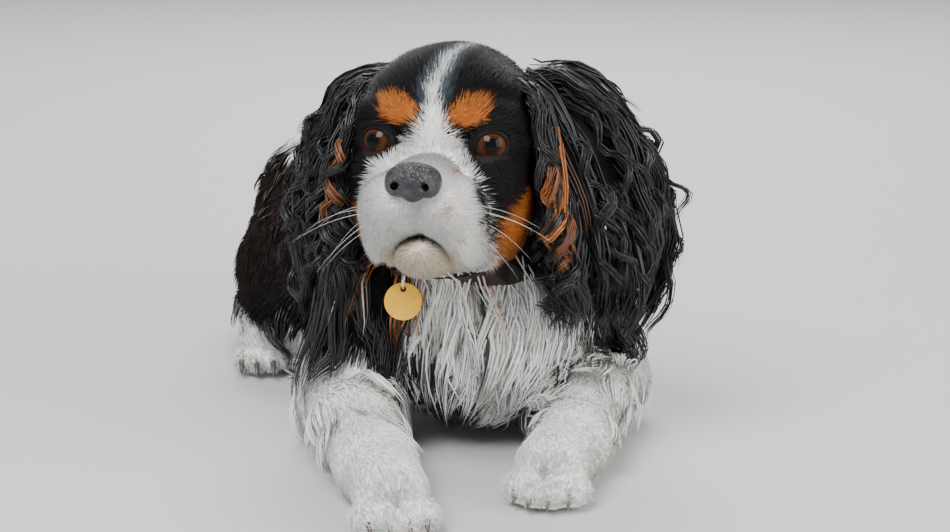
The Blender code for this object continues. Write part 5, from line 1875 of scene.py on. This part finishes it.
    def dress_hardware(self) -> None:
        """The finishes of collar, tag and ring, whose solids stay."""
        finishes = {
            "collar": plain_finish(
                "collar_leather", (0.012, 0.007, 0.005), (0.030, 0.016, 0.010), (0.45, 0.6), 250.0,
                                   bump=0.0004),
            "tag": plain_finish(
                "tag_metal", (0.86, 0.44, 0.025), (0.92, 0.52, 0.05), (0.22, 0.38), 240.0, metal=0.35,
                                bump=0.00005),
            "tag_ring": plain_finish(
                "ring_steel", (0.5, 0.5, 0.5), (0.7, 0.7, 0.7), (0.2, 0.3), 400.0, metal=1.0
            ),
        }
        for name, finish in finishes.items():
            self.nodes[name].data.materials.clear()
            self.nodes[name].data.materials.append(finish)


SKIN_NODES = ("head", "neck", "torso", "tail", "foreleg", "forepaw", "hindleg", "hindpaw")


def path_gap(points: Points, path: Points) -> Points:
    """How far each point lies from a path of straight stretches."""
    gaps = []
    for start, end in zip(path, path[1:]):
        along = end - start
        share = np.clip((points - start) @ along / (along @ along), 0, 1)
        gaps.append(np.linalg.norm(points - start - share[:, None] * along, axis=1))
    return np.min(gaps, axis=0)


def head_unwrap(points: Points) -> Points:
    """The head unwrapped as a globe about its middle: the turn about its axis, and the tilt from it."""
    local = HEAD_PLACE.into(points) - CM * np.array((0, 2.0, -1.0))
    turn = np.arctan2(local[:, 0], local[:, 2]) / (2 * math.pi) + 0.5
    tilt = np.arccos(np.clip(local[:, 1] / np.maximum(np.linalg.norm(local, axis=1), TINY), -1, 1)) / math.pi
    return np.stack((turn, tilt), axis=1)


def face_length(points: Points) -> Points:
    """Fur of the face: 4.5 mm by the nose, growing to 10 mm on the cheeks."""
    y = HEAD_PLACE.into(points)[:, 1] / CM
    return 0.0045 + 0.0055 * ramp(y, -4.5, 2.5)


def skull_length(points: Points) -> Points:
    """Fur of the skull and the neck under the jaw: 12 mm."""
    return np.full(len(points), 0.012)


def throat_region(local: Points) -> Points:
    """1 on the throat, below and behind the lips, for places in the head's axes in centimetres."""
    return ramp(local[:, 2], -6.2, -6.7) * ramp(local[:, 1], -0.6, 0.4) * ramp(np.abs(local[:, 0]), 2.6, 2.1)


def body_length(points: Points) -> Points:
    """Coat of the trunk and neck: 20 mm, growing to 32 mm on the sides of the neck and the breast."""
    return 0.020 + 0.012 * ramp(points[:, 1], 0.0, -0.10)


def bib_region(points: Points) -> Points:
    """1 on the throat and chest, where the long locks of the bib start."""
    y, z = (points[:, 1:] / CM).T
    return ramp(y, -9.5, -12.0) * ramp(z, 14.2, 12.8) * ramp(z, 3.0, 4.5) * (y > -22)


def bib_length(points: Points) -> Points:
    """Locks of the bib: 55 mm from the throat, shorter down the chest."""
    return 0.032 + 0.028 * ramp(points[:, 2], 0.07, 0.11)


def fringe_region(points: Points) -> Points:
    """1 along the back of the forearms, the edge of the belly and the back of the thighs."""
    y, z = (points[:, 1:] / CM).T
    low = ramp(z, 0.2, 0.8) * ramp(z, 5.5, 3.5)
    return low * ((y > -19) & (y < 25))


def add_stage() -> None:
    """A plain pale floor."""
    corners = ((-6, -6, 0), (6, -6, 0), (6, 6, 0), (-6, 6, 0))
    mesh = new_mesh("floor", np.array(corners, float), [np.array(((0, 1, 2, 3),))])
    floor = bpy.data.objects.new("floor", mesh)
    bpy.context.scene.collection.objects.link(floor)
    material, _, shader = new_material("floor_pale")
    shader.inputs["Base Color"].default_value = (0.62, 0.62, 0.61, 1)
    shader.inputs["Roughness"].default_value = 0.7
    mesh.materials.append(material)


def aim(obj: bpy.types.Object, place: Points, target: Points) -> None:
    """Puts an object at a place, looking at the target along its -Z."""
    back = unit(place - target)
    side = unit(np.cross((0.0, 0.0, 1.0), back))
    up = np.cross(back, side)
    matrix = np.eye(4)
    matrix[:3, :3] = np.stack((side, up, back), axis=1)
    matrix[:3, 3] = place
    obj.matrix_world = Matrix(matrix.tolist())


def add_light(name: str, place: Sequence[float], size: float, power: float, colour: Colour) -> None:
    """A square soft light that looks at the dog."""
    light = bpy.data.lights.new(name, "AREA")
    light.size, light.energy, light.color = size, power, colour
    obj = bpy.data.objects.new(name, light)
    bpy.context.scene.collection.objects.link(obj)
    aim(obj, np.array(place, float), np.array((0.0, -0.08, 0.10)))


def add_lights() -> None:
    """Soft studio light: a cool sky light from the upper left, a warm fill, one behind, a pale world."""
    add_light("key", (-0.9, -1.3, 1.7), 1.1, 58.0, (0.94, 0.97, 1.0))
    add_light("fill", (1.5, -1.4, 0.7), 1.5, 34.0, (1.0, 0.97, 0.93))
    add_light("back", (0.4, 1.5, 1.4), 1.2, 34.0, (1.0, 0.98, 0.95))
    world = bpy.data.worlds.new("studio")
    world.use_nodes = True
    background = world.node_tree.nodes["Background"]
    background.inputs["Color"].default_value = (0.80, 0.84, 0.90, 1)
    background.inputs["Strength"].default_value = 0.70
    bpy.context.scene.world = world


def add_camera() -> None:
    """The camera at the photograph's angle: 11 degrees to the dog's right and 12 above it, 1.5 m away."""
    azimuth, height, distance = math.radians(-11), math.radians(12), 1.5
    target = np.array((-0.004, -0.11, 0.10))
    back = np.array(
        (math.sin(azimuth) * math.cos(height), -math.cos(azimuth) * math.cos(height), math.sin(height))
    )
    camera = bpy.data.cameras.new("camera")
    camera.sensor_width = 36.0
    camera.lens = 2700 / 950 * 36.0
    obj = bpy.data.objects.new("camera", camera)
    bpy.context.scene.collection.objects.link(obj)
    aim(obj, target + distance * back, target)
    bpy.context.scene.camera = obj


def main(frame: dict) -> None:
    """Builds the stage and the dog in order.

    Args:
        frame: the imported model.
    """
    add_stage()
    add_lights()
    add_camera()
    spaniel = Spaniel(frame["nodes"])
    scalp = spaniel.build_skin()
    spaniel.build_face()
    spaniel.build_claws()
    spaniel.build_ears()
    spaniel.build_coat(scalp)
    spaniel.dress_hardware()


if __name__ == "__main__":
    logging.basicConfig(level=logging.INFO, format="%(message)s")
    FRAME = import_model()
    main(FRAME)
